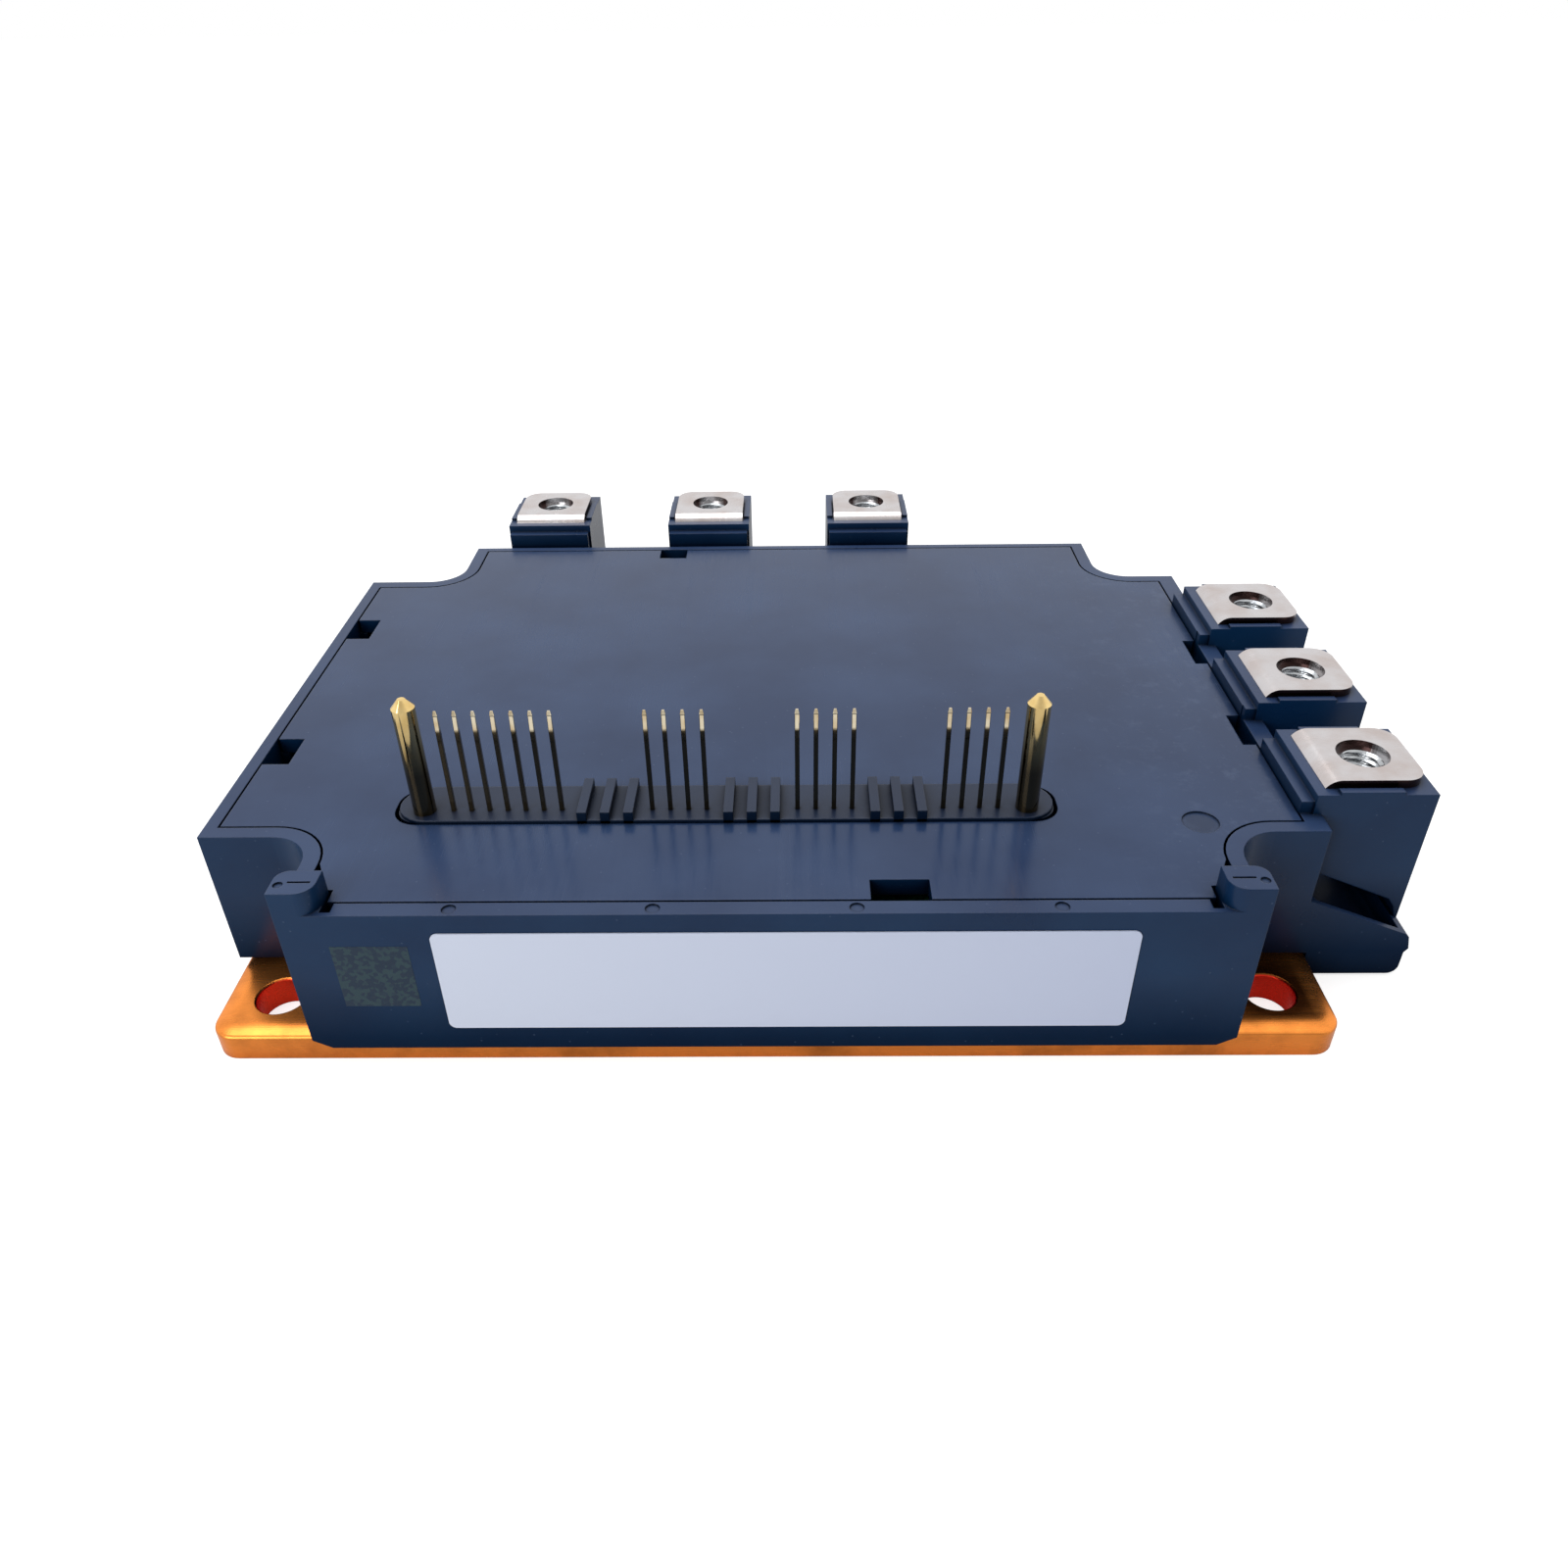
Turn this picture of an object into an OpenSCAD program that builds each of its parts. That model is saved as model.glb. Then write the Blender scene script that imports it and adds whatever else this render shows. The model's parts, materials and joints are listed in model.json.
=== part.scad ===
// Power transistor module: a moulded case with a lid on a copper base plate. Sizes in mm.
// X runs from the plain end to the terminal end, Y from the label side to the rear terminals, Z up.
// The origin is on the underside of the base plate, midway between its four mounting holes.

/* [Base plate] */
// mounting holes, centre to centre along X
hole_pitch_x = 110; // [100:0.5:125]
// mounting holes, centre to centre along Y
hole_pitch_y = 78.75; // [76:0.25:90]
// diameter of the mounting holes
hole_d = 5.5; // [4.5:0.1:6.5]
// mounting hole's centre to the plate's end along X
plate_margin_x = 6.2; // [5:0.1:6.6]
// mounting hole's centre to the plate's edge along Y
plate_margin_y = 6.125; // [5:0.125:6.5]
// thickness of the plate
plate_thick = 3.5; // [3:0.1:4]
// radius of the plate's corners
plate_corner = 2; // [1:0.5:4]
// chamfer along the plate's top and bottom edges
plate_edge = 0.4; // [0.2:0.1:0.8]

/* [Case] */
// mounting hole's centre to the plain end wall's outer face
over_left = 7.2; // [6.6:0.1:8]
// mounting hole's centre to the terminal end wall's outer face
over_right = 5; // [4.5:0.1:5.5]
// mounting hole's centre to the label wall's outer face
over_front = 6.925; // [6.7:0.025:8]
// mounting hole's centre to the rear wall's outer face
over_back = 6.775; // [6.2:0.025:7.6]
// height of the rim and the lid above the base
case_top = 20.8; // [20:0.1:22]
// thickness of the plain end wall at the rim
wall_left = 1.5; // [1.2:0.1:1.8]
// thickness of the terminal end wall at the rim
wall_right = 2.3; // [2:0.1:2.6]
// thickness of the label wall at the rim
wall_front = 2; // [1.6:0.1:2.4]
// thickness of the rear wall at the rim
wall_back = 1.2; // [1:0.1:1.6]
// thickness of the walls round the corner notches
wall_notch = 1.8; // [1.4:0.1:2.2]
// width of the shelf that the lid rests on
lid_shelf = 1; // [0.6:0.1:1.4]
// width of the shelf that the control board rests on
board_shelf = 1.6; // [1:0.1:2]
// drop of the label wall's skirt over the plate's edge
skirt_drop = 1.1; // [0.5:0.1:1.6]
// run of the slanting ends of the skirt
skirt_slant = 2; // [1:0.5:3]

/* [Corner notches] */
// mounting hole's centre to a front notch's wall along X
clear_front_x = 5.7; // [5:0.1:6.2]
// mounting hole's centre to a front notch's wall along Y
clear_front_y = 6.375; // [5.875:0.125:6.875]
// mounting hole's centre to a rear notch's wall along X
clear_back_x = 6.2; // [5.6:0.1:6.6]
// mounting hole's centre to a rear notch's wall along Y
clear_back_y = 6.175; // [5.675:0.125:6.675]
// fillet in the inner corner of each notch
notch_r = 4.8; // [4:0.2:5.6]

/* [Ears and rim] */
// length of an ear along X
ear_x = 4.5; // [4:0.1:5]
// width of an ear along Y
ear_y = 3.8; // [3.2:0.1:4.2]
// rise of an ear above the rim
ear_rise = 2.8; // [2:0.1:4]
// radius of an ear's inner front corner
ear_inner_r = 1.9; // [1.5:0.1:3]
// radius of an ear's outer rear corner
ear_outer_r = 1.4; // [0.6:0.1:2]
// gap in the rim beside each ear
ear_gap = 1.1; // [0.8:0.1:1.6]
// depth of the gap in the rim
ear_gap_depth = 2.6; // [1:0.2:4]
// thickness of the wall's face in front of the gap
ear_gap_land = 0.6; // [0.4:0.1:1]
// diameter of the ejector marks on the rim
ejector_d = 1.5; // [1:0.1:1.8]
// spacing of the ejector marks on the rim
ejector_pitch = 20.3; // [18:0.1:22]

/* [Lid] */
// thickness of the lid
lid_thick = 2; // [1.6:0.1:2.4]
// clearance between the lid and the rim
lid_gap = 0.25; // [0.15:0.05:0.4]
// depth of the latch windows inward from the lid's edge
window_depth = 3.4; // [2.5:0.1:4.5]
// depth of the latch windows beside the terminals
window_depth_right = 1.8; // [1.2:0.1:2.4]
// diameter of the gate mark on the lid
gate_d = 4; // [3:0.2:5]
// length of the slanting cut at the lid's corners beside the ears
lid_corner = 4.4; // [3:0.1:5.5]
// width of the slanting cut at the lid's corners
lid_corner_wid = 2; // [1:0.1:2.6]
// depth of the gate mark and the ejector marks
mark_depth = 0.2; // [0.1:0.05:0.4]

/* [Pin header] */
// centre of the pin field along X
header_x = -5.2; // [-6.2:0.1:-4.2]
// row of the control pins along Y
pin_y = -28.62; // [-29:0.02:-28.2]
// header strip past a guide pin's side
header_end = 1.83; // [1.5:0.01:2.5]
// width of the header strip
header_wid = 6.1; // [5.4:0.1:6.6]
// distance from the pin row to the header's front edge
header_front = 1.75; // [1.4:0.05:2.2]
// corner radius of the header strip
header_r = 2.4; // [1.4:0.1:2.6]
// groove between the header and the lid
header_gap = 0.45; // [0.3:0.05:0.8]
// spacing of the ribs between the pin groups
rib_pitch = 2.55; // [2.2:0.05:2.9]
// thickness of each rib
rib_thick = 1.05; // [0.8:0.05:1.4]
// rise of the ribs above the lid
rib_rise = 1.4; // [0.8:0.1:2]

/* [Control pins] */
// thickness of a square control pin
pin_size = 0.5; // [0.4:0.02:0.64]
// spacing of the pins in a group
pin_pitch = 2; // [1.8:0.1:2.2]
// height of the control pins above the lid
pin_rise = 13; // [9:0.5:15]
// length of the taper at a pin's tip
pin_taper = 1.7; // [1:0.1:2.5]
// thickness of a pin at its very tip
pin_tip = 0.2; // [0.1:0.02:0.3]
// length of the pins below the control board
pin_tail = 1.2; // [0.6:0.1:1.8]
// diameter of the guide pins
guide_d = 2.5; // [2:0.1:2.8]
// outermost control pin to the guide pin beside it, centre to centre
guide_step = 3.22; // [2.2:0.02:4]
// height of the guide pins above the lid
guide_rise = 14.5; // [11:0.5:17]
// length of the cone on a guide pin
guide_cone = 1; // [0.6:0.1:1.6]
// diameter of a guide pin's shank in the header
guide_shank_d = 2; // [1.6:0.1:2.2]
// depth of a guide pin in the header
guide_seat = 4.5; // [3:0.5:5.5]
// rise of the shank above the header, below the shoulder
guide_neck = 0.3; // [0.2:0.1:0.6]

/* [Terminals] */
// right-hand terminals, centre to centre
pitch_right = 20; // [19:0.5:21]
// middle of the right-hand terminals along Y
mid_right = -3; // [-4:0.5:-2]
// rear terminals, centre to centre
pitch_back = 26; // [25:0.5:27]
// middle of the rear terminals along X
mid_back = -11.5; // [-12.5:0.5:-10.5]
// origin to the inner face of the rear busbars' legs
leg_back = 50.3; // [50:0.1:50.8]
// top of the terminal pads above the base
pad_top = 24.3; // [23.8:0.1:25]
// thickness of the busbar metal
bar_thick = 1; // [0.8:0.1:1.2]
// width of a terminal pad
pad_wid = 11; // [10:0.5:12]
// reach of a pad from the leg's inner face
pad_reach = 11.4; // [11:0.1:11.8]
// radius of a pad's outer corners
pad_corner = 2.4; // [1:0.2:3.4]
// outer radius of the bends
bend_r = 2; // [1.4:0.1:2.4]
// leg's inner face to the screw hole's centre
screw_reach = 6.2; // [5.8:0.1:6.4]
// diameter of the screw hole in a pad
screw_hole_d = 5.8; // [5.3:0.1:6.2]
// height of the busbar tails above the base
tail_level = 7.5; // [6.5:0.1:8.5]
// length of the tails inside the cavity
tail_reach = 3.4; // [2.5:0.1:4]

/* [Terminal blocks] */
// width of a right-hand block
block_wid_right = 13.8; // [13:0.1:14.4]
// width of a rear block
block_wid_back = 13.2; // [12.8:0.1:14.4]
// reach of a block from the busbar's inner face
block_reach = 12.1; // [12:0.1:12.4]
// top of the rail inboard of each busbar
rail_top = 22.3; // [21.6:0.1:22.8]
// thickness of the rail
rail_thick = 2.2; // [1.8:0.1:2.3]
// setback of the rail's ends from the block's
rail_setback = 0.3; // [0:0.1:0.8]
// rise of the ridges beside a pad
ridge_rise = 0.35; // [0.2:0.05:0.6]
// width of the ridges beside a pad
ridge_wid = 0.9; // [0.5:0.1:1.1]
// length of the ridges beside a pad
ridge_len = 6.9; // [5:0.1:8]
// across flats of the terminal nuts
nut_flats = 8; // [7.8:0.1:8.2]
// thickness of the terminal nuts
nut_thick = 4; // [3.5:0.1:4.5]
// bore of the nuts at the thread's crest
nut_bore_d = 4.2; // [4.1:0.05:4.4]
// clearance round a nut in its pocket
nut_gap = 0.15; // [0.1:0.05:0.3]
// diameter of the well under a nut for the screw's end
well_d = 6; // [5.4:0.1:6.4]
// depth of the well under a nut
well_depth = 5; // [3:0.5:6]

/* [Side flanges] */
// reach of the right-hand flange from the busbar's inner face
flange_reach_right = 12.8; // [12.5:0.1:13.2]
// reach of the rear flange from the busbar's inner face
flange_reach_back = 13.4; // [12.5:0.1:13.6]
// run of a flange past its outer blocks
flange_over = 3.1; // [2:0.1:4]
// clearance of the flange above the mounting surface
flange_lift = 0.3; // [0.1:0.1:1]
// height of the flange's top at the wall
flange_top = 11.1; // [10:0.1:12]
// slope of the flange's top, in degrees
flange_slope = 22.2; // [18:0.2:26]
// thickness of the flange's outer lip
flange_lip = 1.5; // [1:0.1:2]
// thickness of the flange's end walls
flange_end = 0.8; // [0.6:0.1:1.5]
// height of the slot between a block and the flange
slot_height = 2.1; // [1.6:0.1:2.6]
// height of the step in the flange's outer face above the base
flange_step_level = 3.5; // [3:0.1:4]
// depth of the step in the flange's outer face
flange_step = 0.4; // [0.2:0.1:0.6]
// radius of the flange's lower outer edge
flange_r = 1.2; // [0.6:0.1:2]

/* [Label] */
// length of the label
label_len = 71.1; // [60:0.5:76]
// height of the label
label_high = 13; // [10:0.5:14]
// centre of the label along X
label_x = 1.45; // [-2:0.05:4]
// middle of the label above the base
label_z = 12; // [11:0.1:12.6]
// thickness of the label
label_thick = 0.15; // [0.1:0.05:0.3]
// corner radius of the label
label_r = 0.8; // [0.2:0.1:1.5]

/* [Inside] */
// thickness of the control board
board_thick = 1.6; // [1:0.2:2]
// top of the control board above the base
board_top = 14.6; // [13.6:0.2:15]
// length of a driver chip
driver_len = 10.3; // [8:0.1:12]
// width of a driver chip
driver_wid = 7.5; // [6:0.1:8]
// thickness of a driver chip
driver_thick = 2.3; // [1.8:0.1:2.6]
// gap from the pin row to the driver chips' near side
driver_gap = 9; // [7:0.5:14]
// gap between the phases' ceramic tiles
tile_gap = 3; // [2:0.5:4]
// cavity left free past the tiles at each end
tile_end = 6.9; // [6:0.1:8]
// tiles' sides to the notch walls' inner faces
tile_side = 1.6; // [1:0.1:2.5]
// gap between the brake's tile and its neighbours
brake_gap = 1.85; // [1.2:0.05:2]
// thickness of the ceramic
ceramic_thick = 0.6; // [0.3:0.1:0.8]
// thickness of the copper on each side of a tile
foil_thick = 0.3; // [0.2:0.1:0.5]
// ceramic left bare round and between the tracks
foil_margin = 0.8; // [0.5:0.1:1.2]
// thickness of the transistor and diode chips
chip_thick = 0.35; // [0.2:0.05:0.5]
// side of a transistor chip
igbt_size = 11; // [9:0.5:12]
// side of a diode chip
diode_size = 8.5; // [7:0.5:9.5]
// side of the brake's transistor chip
brake_igbt_size = 8; // [6:0.5:8.5]
// side of the brake's diode chip
brake_diode_size = 6.5; // [5:0.5:7.5]
// thickness of the bonding wires
wire_thick = 0.4; // [0.3:0.05:0.5]
// spacing of the bonding wires on a chip
wire_pitch = 2.4; // [1.6:0.1:2.6]
// rise of a bonding wire above its higher end
wire_rise = 1.6; // [1:0.1:2.4]

/* [Hidden] */
$fn = 40;
far = 300;
cut = 0.01;
plate_len = hole_pitch_x + 2 * plate_margin_x;
plate_wid = hole_pitch_y + 2 * plate_margin_y;
case_left = hole_pitch_x / 2 + over_left;
case_right = hole_pitch_x / 2 + over_right;
case_front = hole_pitch_y / 2 + over_front;
case_back = hole_pitch_y / 2 + over_back;
notch_front_x = hole_pitch_x / 2 - clear_front_x;
notch_front_y = hole_pitch_y / 2 - clear_front_y;
notch_back_x = hole_pitch_x / 2 - clear_back_x;
notch_back_y = hole_pitch_y / 2 - clear_back_y;
case_walls = [wall_left, wall_right, wall_front, wall_back, wall_notch];
lid_level = case_top - lid_thick;
board_level = board_top - board_thick;
board_gap = 0.3;
plate_gap = 0.1;
terminal_count = 3;
sides = ["right", "back"];
header_front_y = pin_y - header_front;
header_mid_y = header_front_y + header_wid / 2;
header_base = board_top;
pin_groups = [[-15, 7], [-4, 4], [4, 4], [12, 4]];
pin_places = [for (g = pin_groups) for (i = [0 : g[1] - 1]) header_x + (g[0] + i) * pin_pitch];
guide_pitch = max(pin_places) - min(pin_places) + 2 * guide_step;
header_len = guide_pitch + guide_d + 2 * header_end;
gap_places = [for (k = [0 : 2]) header_x
    + (pin_groups[k][0] + pin_groups[k][1] - 1 + pin_groups[k + 1][0]) * pin_pitch / 2];
group_places = [for (g = pin_groups) header_x + (g[0] + (g[1] - 1) / 2) * pin_pitch];
seat_level = pad_top - bar_thick;
nut_level = seat_level - nut_thick;
ceramic_level = plate_thick + foil_thick;
foil_level = ceramic_level + ceramic_thick;
chip_level = foil_level + foil_thick;
wire_level = chip_level + chip_thick;
cavity_walls = case_walls + (lid_shelf + board_shelf) * [1, 1, 1, 1, 1];
inner_left = case_left - cavity_walls[0];
inner_right = case_right - cavity_walls[1];
inner_front = case_front - cavity_walls[2];
inner_back = case_back - cavity_walls[3];
stage_right = inner_right - tail_reach;
tile_x = (inner_left + stage_right - 2 * tile_end - 2 * tile_gap) / 3;
tile_y = 2 * (notch_front_y - cavity_walls[4] - tile_side);
tile_pitch = tile_x + tile_gap;
tile_mid = (stage_right - inner_left) / 2;
brake_y = inner_front - tile_y / 2 - 2 * brake_gap;
brake_mid_x = tile_mid + tile_pitch;
brake_mid_y = -(tile_y / 2 + brake_gap + brake_y / 2);
track_wid = (tile_x - 3 * foil_margin) / 2;
track_offset = (track_wid + foil_margin) / 2;
chip_offset = 10;
wire_land = 21;
phase_switches = [for (k = [-1 : 1]) for (s = [-1, 1]) tile_mid + k * tile_pitch + s * track_offset];
brake_switch = [brake_mid_x - tile_x / 4, brake_mid_x + tile_x / 4];
// latch windows: the wall, the start and the end along it
windows = [["left", -18.4, -12.7], ["left", 14.1, 20], ["front", 10.1, 16.2],
    ["back", -18.9, -14.7], ["right", -15.4, -8.6], ["right", 5, 11.6]];
pin_names = [for (i = [1 : len(pin_places)]) str("control_pin_", i < 10 ? "0" : "", i)];
terminal_names = [for (s = sides) for (i = [1 : terminal_count]) str("terminal_", s, "_", i)];
driver_names = [for (i = [1 : len(pin_groups)]) str("driver_chip_", i)];
tile_names = [for (i = [1 : 4]) str("ceramic_tile_", i)];
igbt_names = [for (i = [1 : 7]) str("igbt_chip_", i)];
diode_names = [for (i = [1 : 7]) str("diode_chip_", i)];

function wall_sum(extra) = case_walls + extra * [1, 1, 1, 1, 1];
function pitch(side) = side == "right" ? pitch_right : pitch_back;
function block_wid(side) = side == "right" ? block_wid_right : block_wid_back;
function flange_reach(side) = side == "right" ? flange_reach_right : flange_reach_back;
// distance from a busbar's leg in to the case wall's outer face and to the cavity
function wall_back_off(side) = side == "right" ? 0 : leg_back - case_back;
function cavity_off(side) = side == "right" ? case_right - inner_right : leg_back - inner_back;
function flange_height(u) = flange_top - u * tan(flange_slope);

// ---- shared shapes ----

// what a rounded corner takes off a square one, drawn in the quarter from the corner inward
module corner_waste(r) {
    difference() {
        translate([-1, -1]) square(r + 1);
        translate([r, r]) circle(r);
    }
}

module rounded_rect(len, wid, r) {
    difference() {
        square([len, wid], center = true);
        for (sx = [-1, 1]) for (sy = [-1, 1])
            scale([sx, sy]) translate([-len / 2, -wid / 2]) corner_waste(r);
    }
}

// the open quarter outside a corner notch, its inner corner filleted
module notch_area(x, y, r) {
    translate([x + r, y]) square(far);
    translate([x, y + r]) square(far);
    translate([x + r, y + r]) circle(r);
}

// plan of the case, drawn in by its own amount at the left, right, front, back and notches
module plan(inset) {
    difference() {
        translate([inset[0] - case_left, inset[2] - case_front])
            square([case_left + case_right - inset[0] - inset[1],
                case_front + case_back - inset[2] - inset[3]]);
        for (s = [-1, 1]) {
            scale([s, -1])
                notch_area(notch_front_x - inset[4], notch_front_y - inset[4], notch_r + inset[4]);
            scale([s, 1])
                notch_area(notch_back_x - inset[4], notch_back_y - inset[4], notch_r + inset[4]);
        }
    }
}

// places its children at a side's busbars: X outward from the leg's inner face, Y along the wall
module at_side(side) {
    if (side == "right") translate([case_right, mid_right, 0]) children();
    else translate([mid_back, leg_back, 0]) rotate(90) children();
}

module at_terminal(side, i) {
    at_side(side) translate([0, (i - 2) * pitch(side), 0]) children();
}

// extrudes a section drawn in X and Z along Y, centred
module along_y(wid) {
    rotate([90, 0, 0]) linear_extrude(wid, center = true) children();
}

// ---- base plate ----

module plate_section(len) {
    e = plate_edge;
    polygon([[-len / 2 + e, 0], [len / 2 - e, 0], [len / 2, e], [len / 2, plate_thick - e],
        [len / 2 - e, plate_thick], [-len / 2 + e, plate_thick], [-len / 2, plate_thick - e],
        [-len / 2, e]]);
}

module base_plate() color("#c8763a") {
    difference() {
        intersection() {
            linear_extrude(plate_thick) rounded_rect(plate_len, plate_wid, plate_corner);
            along_y(plate_wid + 1) plate_section(plate_len);
            rotate(90) along_y(plate_len + 1) plate_section(plate_wid);
        }
        for (sx = [-1, 1]) for (sy = [-1, 1])
            translate([sx * hole_pitch_x / 2, sy * hole_pitch_y / 2, -1])
                cylinder(d = hole_d, h = plate_thick + 2);
    }
}

// ---- case ----

// the ring of walls, stepped inside for the lid and the control board
module case_ring() {
    difference() {
        translate([0, 0, plate_thick]) linear_extrude(case_top - plate_thick) plan([0, 0, 0, 0, 0]);
        translate([0, 0, lid_level]) linear_extrude(far) plan(case_walls);
        translate([0, 0, board_level]) linear_extrude(far) plan(wall_sum(lid_shelf));
        translate([0, 0, -1]) linear_extrude(far) plan(cavity_walls);
    }
}

// the label wall reaches down past the plate's top, its ends slanting up to the notches
module skirt() {
    low = plate_thick - skirt_drop;
    x = notch_front_x;
    translate([0, -(case_front + plate_wid / 2 + plate_gap) / 2, 0])
        along_y(case_front - plate_wid / 2 - plate_gap)
            polygon([[-x, plate_thick + 1], [-x, plate_thick], [skirt_slant - x, low],
                [x - skirt_slant, low], [x, plate_thick], [x, plate_thick + 1]]);
}

// a raised ear at the right-hand end of the label wall, with a sink groove and an ejector mark
module ear() {
    top = case_top + ear_rise;
    translate([notch_front_x - ear_x, -case_front, 0]) difference() {
        translate([0, 0, lid_level]) linear_extrude(top - lid_level) difference() {
            square([ear_x, ear_y]);
            corner_waste(ear_inner_r);
            translate([ear_x, ear_y]) rotate(180) corner_waste(ear_outer_r);
        }
        translate([ear_x - 0.8, 1.5, top - mark_depth]) cylinder(d = 1, h = 1);
        translate([0.6, 1.8, top - mark_depth]) cube([2.3, 0.25, 1]);
    }
}

// shelves inside the wall that carry the busbar tails
module tail_shelf(side) {
    reach = cavity_off(side);
    translate([-reach - tail_reach, -block_wid(side) / 2, plate_thick])
        cube([reach + tail_reach - wall_back_off(side) - 1, block_wid(side),
            tail_level + bar_thick - plate_thick]);
}

// section of a terminal block: level top, upright outer face, underside sloping with the flange
module block_section() {
    under = flange_height(0) + slot_height;
    skirt = block_reach - 1.6;
    polygon([[-1, seat_level], [block_reach, seat_level], [block_reach, flange_height(block_reach)],
        [block_reach - 0.3, flange_height(block_reach)], [skirt + 0.8, flange_height(skirt) + 1],
        [skirt, flange_height(skirt) + slot_height], [0.4, under], [-1, under]]);
}

// one terminal block with its rail, ridges, and the web behind the rail
module block(side) {
    wid = block_wid(side);
    off = wall_back_off(side);
    along_y(wid) block_section();
    for (s = [-1, 1]) translate([1.5, s * (wid - ridge_wid) / 2 - ridge_wid / 2, seat_level - 1])
        cube([ridge_len, ridge_wid, ridge_rise + 1]);
    translate([-rail_thick - 0.2, -wid / 2 + rail_setback, plate_thick])
        cube([rail_thick, wid - 2 * rail_setback, rail_top - plate_thick]);
    if (off > 0) {
        translate([-off - 1, -wid / 2, plate_thick + plate_gap])
            cube([off + 2, wid, flange_top - plate_thick]);
        translate([-off - 0.5, -1.5, plate_thick + 1])
            cube([off, 3, case_top - 2.5 - plate_thick]);
    }
    for (s = [-1, 1]) translate([-0.5, s * (wid / 2 - 0.55) - 0.55, flange_top])
        cube([1.5, 1.1, seat_level - flange_top]);
}

// section of the flange: sloping top, a small step outside, rounded lower edge
module flange_section(side) {
    reach = flange_reach(side);
    inner = -wall_back_off(side) - 0.5;
    knee = reach - 2 * flange_step;
    difference() {
        polygon([[inner, flange_lift], [reach - flange_step, flange_lift],
            [reach - flange_step, flange_step_level],
            [reach, flange_step_level + 1.5 * flange_step],
            [knee + flange_step, flange_height(knee) - flange_step], [knee, flange_height(knee)],
            [0, flange_top], [inner, flange_top]]);
        translate([reach - flange_step, flange_lift]) scale([-1, 1]) corner_waste(flange_r);
    }
}

module flange(side) {
    len = (terminal_count - 1) * pitch(side) + block_wid(side) + 2 * flange_over;
    reach = flange_reach(side);
    difference() {
        along_y(len) flange_section(side);
        along_y(len - 2 * flange_end) polygon([[0.9, 3], [reach - flange_lip - 0.6, 3],
            [reach - flange_lip, 4], [reach - flange_lip, far], [0.9, far]]);
    }
}

// a hexagon with two flats square to the pad's length, clear of the bend
module nut_shape(flats, high) {
    rotate(30) cylinder(d = flats / cos(30), h = high, $fn = 6);
}

// pocket for the nut, open at the top, and the well below it
module nut_pocket() {
    translate([screw_reach, 0, nut_level]) nut_shape(nut_flats + 2 * nut_gap, nut_thick + 1);
    translate([screw_reach, 0, nut_level - well_depth]) cylinder(d = well_d, h = well_depth + 1);
}

// gaps in the rim beside the ears, and the row of ejector marks
module rim_cuts() {
    for (s = [-1, 1]) scale([s, 1, 1])
        translate([notch_front_x - ear_x - ear_gap, ear_gap_land - case_front, case_top - ear_gap_depth])
            cube([ear_gap, wall_front - ear_gap_land + cut, far]);
    for (i = [-1.5 : 1 : 1.5])
        translate([header_x + 3.7 + i * ejector_pitch, -case_front + 1, case_top - mark_depth])
            cylinder(d = ejector_d, h = 1);
}

// one latch window, cut from the lid's edge inward
module window(w, depth_add) {
    len = w[2] - w[1];
    d = window_depth + depth_add;
    dr = window_depth_right + depth_add;
    translate([0, 0, board_top + 1]) linear_extrude(far) {
        if (w[0] == "left") translate([wall_left - case_left, w[1]]) square([d, len]);
        if (w[0] == "right") translate([case_right - wall_right - dr, w[1]]) square([dr, len]);
        if (w[0] == "front") translate([w[1], wall_front - case_front]) square([len, d]);
        if (w[0] == "back") translate([w[1], case_back - wall_back - d]) square([len, d]);
    }
}

module case_frame() color("#2a3550") {
    difference() {
        union() {
            case_ring();
            skirt();
            for (s = [-1, 1]) scale([s, 1, 1]) ear();
            for (s = sides) {
                at_side(s) flange(s);
                for (i = [1 : terminal_count]) at_terminal(s, i) {
                    block(s);
                    tail_shelf(s);
                }
            }
        }
        rim_cuts();
        for (w = windows) window(w, 0);
        translate([0, 0, -1]) linear_extrude(plate_thick + 1)
            rounded_rect(plate_len + 2 * plate_gap, plate_wid + 2 * plate_gap, plate_corner);
        for (s = sides) for (i = [1 : terminal_count]) at_terminal(s, i) {
            busbar_solid(s);
            nut_pocket();
        }
    }
}

// ---- lid ----

module lid() color("#46516e") {
    ear_clear = lid_gap + 0.1;
    difference() {
        translate([0, 0, lid_level]) linear_extrude(lid_thick) difference() {
            plan(wall_sum(lid_gap));
            for (s = [-1, 1]) scale([s, -1]) {
                translate([notch_front_x - ear_x - ear_clear, case_front - ear_y - ear_clear])
                    square(far);
                translate([notch_front_x - wall_notch - lid_gap, case_front - ear_y - ear_clear])
                    polygon([[-lid_corner_wid, 0], [0, -lid_corner], [far, -lid_corner], [far, 0]]);
            }
            translate([header_x, header_mid_y])
                rounded_rect(header_len + 2 * header_gap, header_wid + 2 * header_gap,
                    header_r + header_gap);
        }
        for (w = windows) window(w, 0);
        translate([notch_front_x - 2.8, notch_front_y * -1 + 1.9, case_top - mark_depth])
            cylinder(d = gate_d, h = 1);
    }
}

// ---- pin header, pins and guides ----

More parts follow.
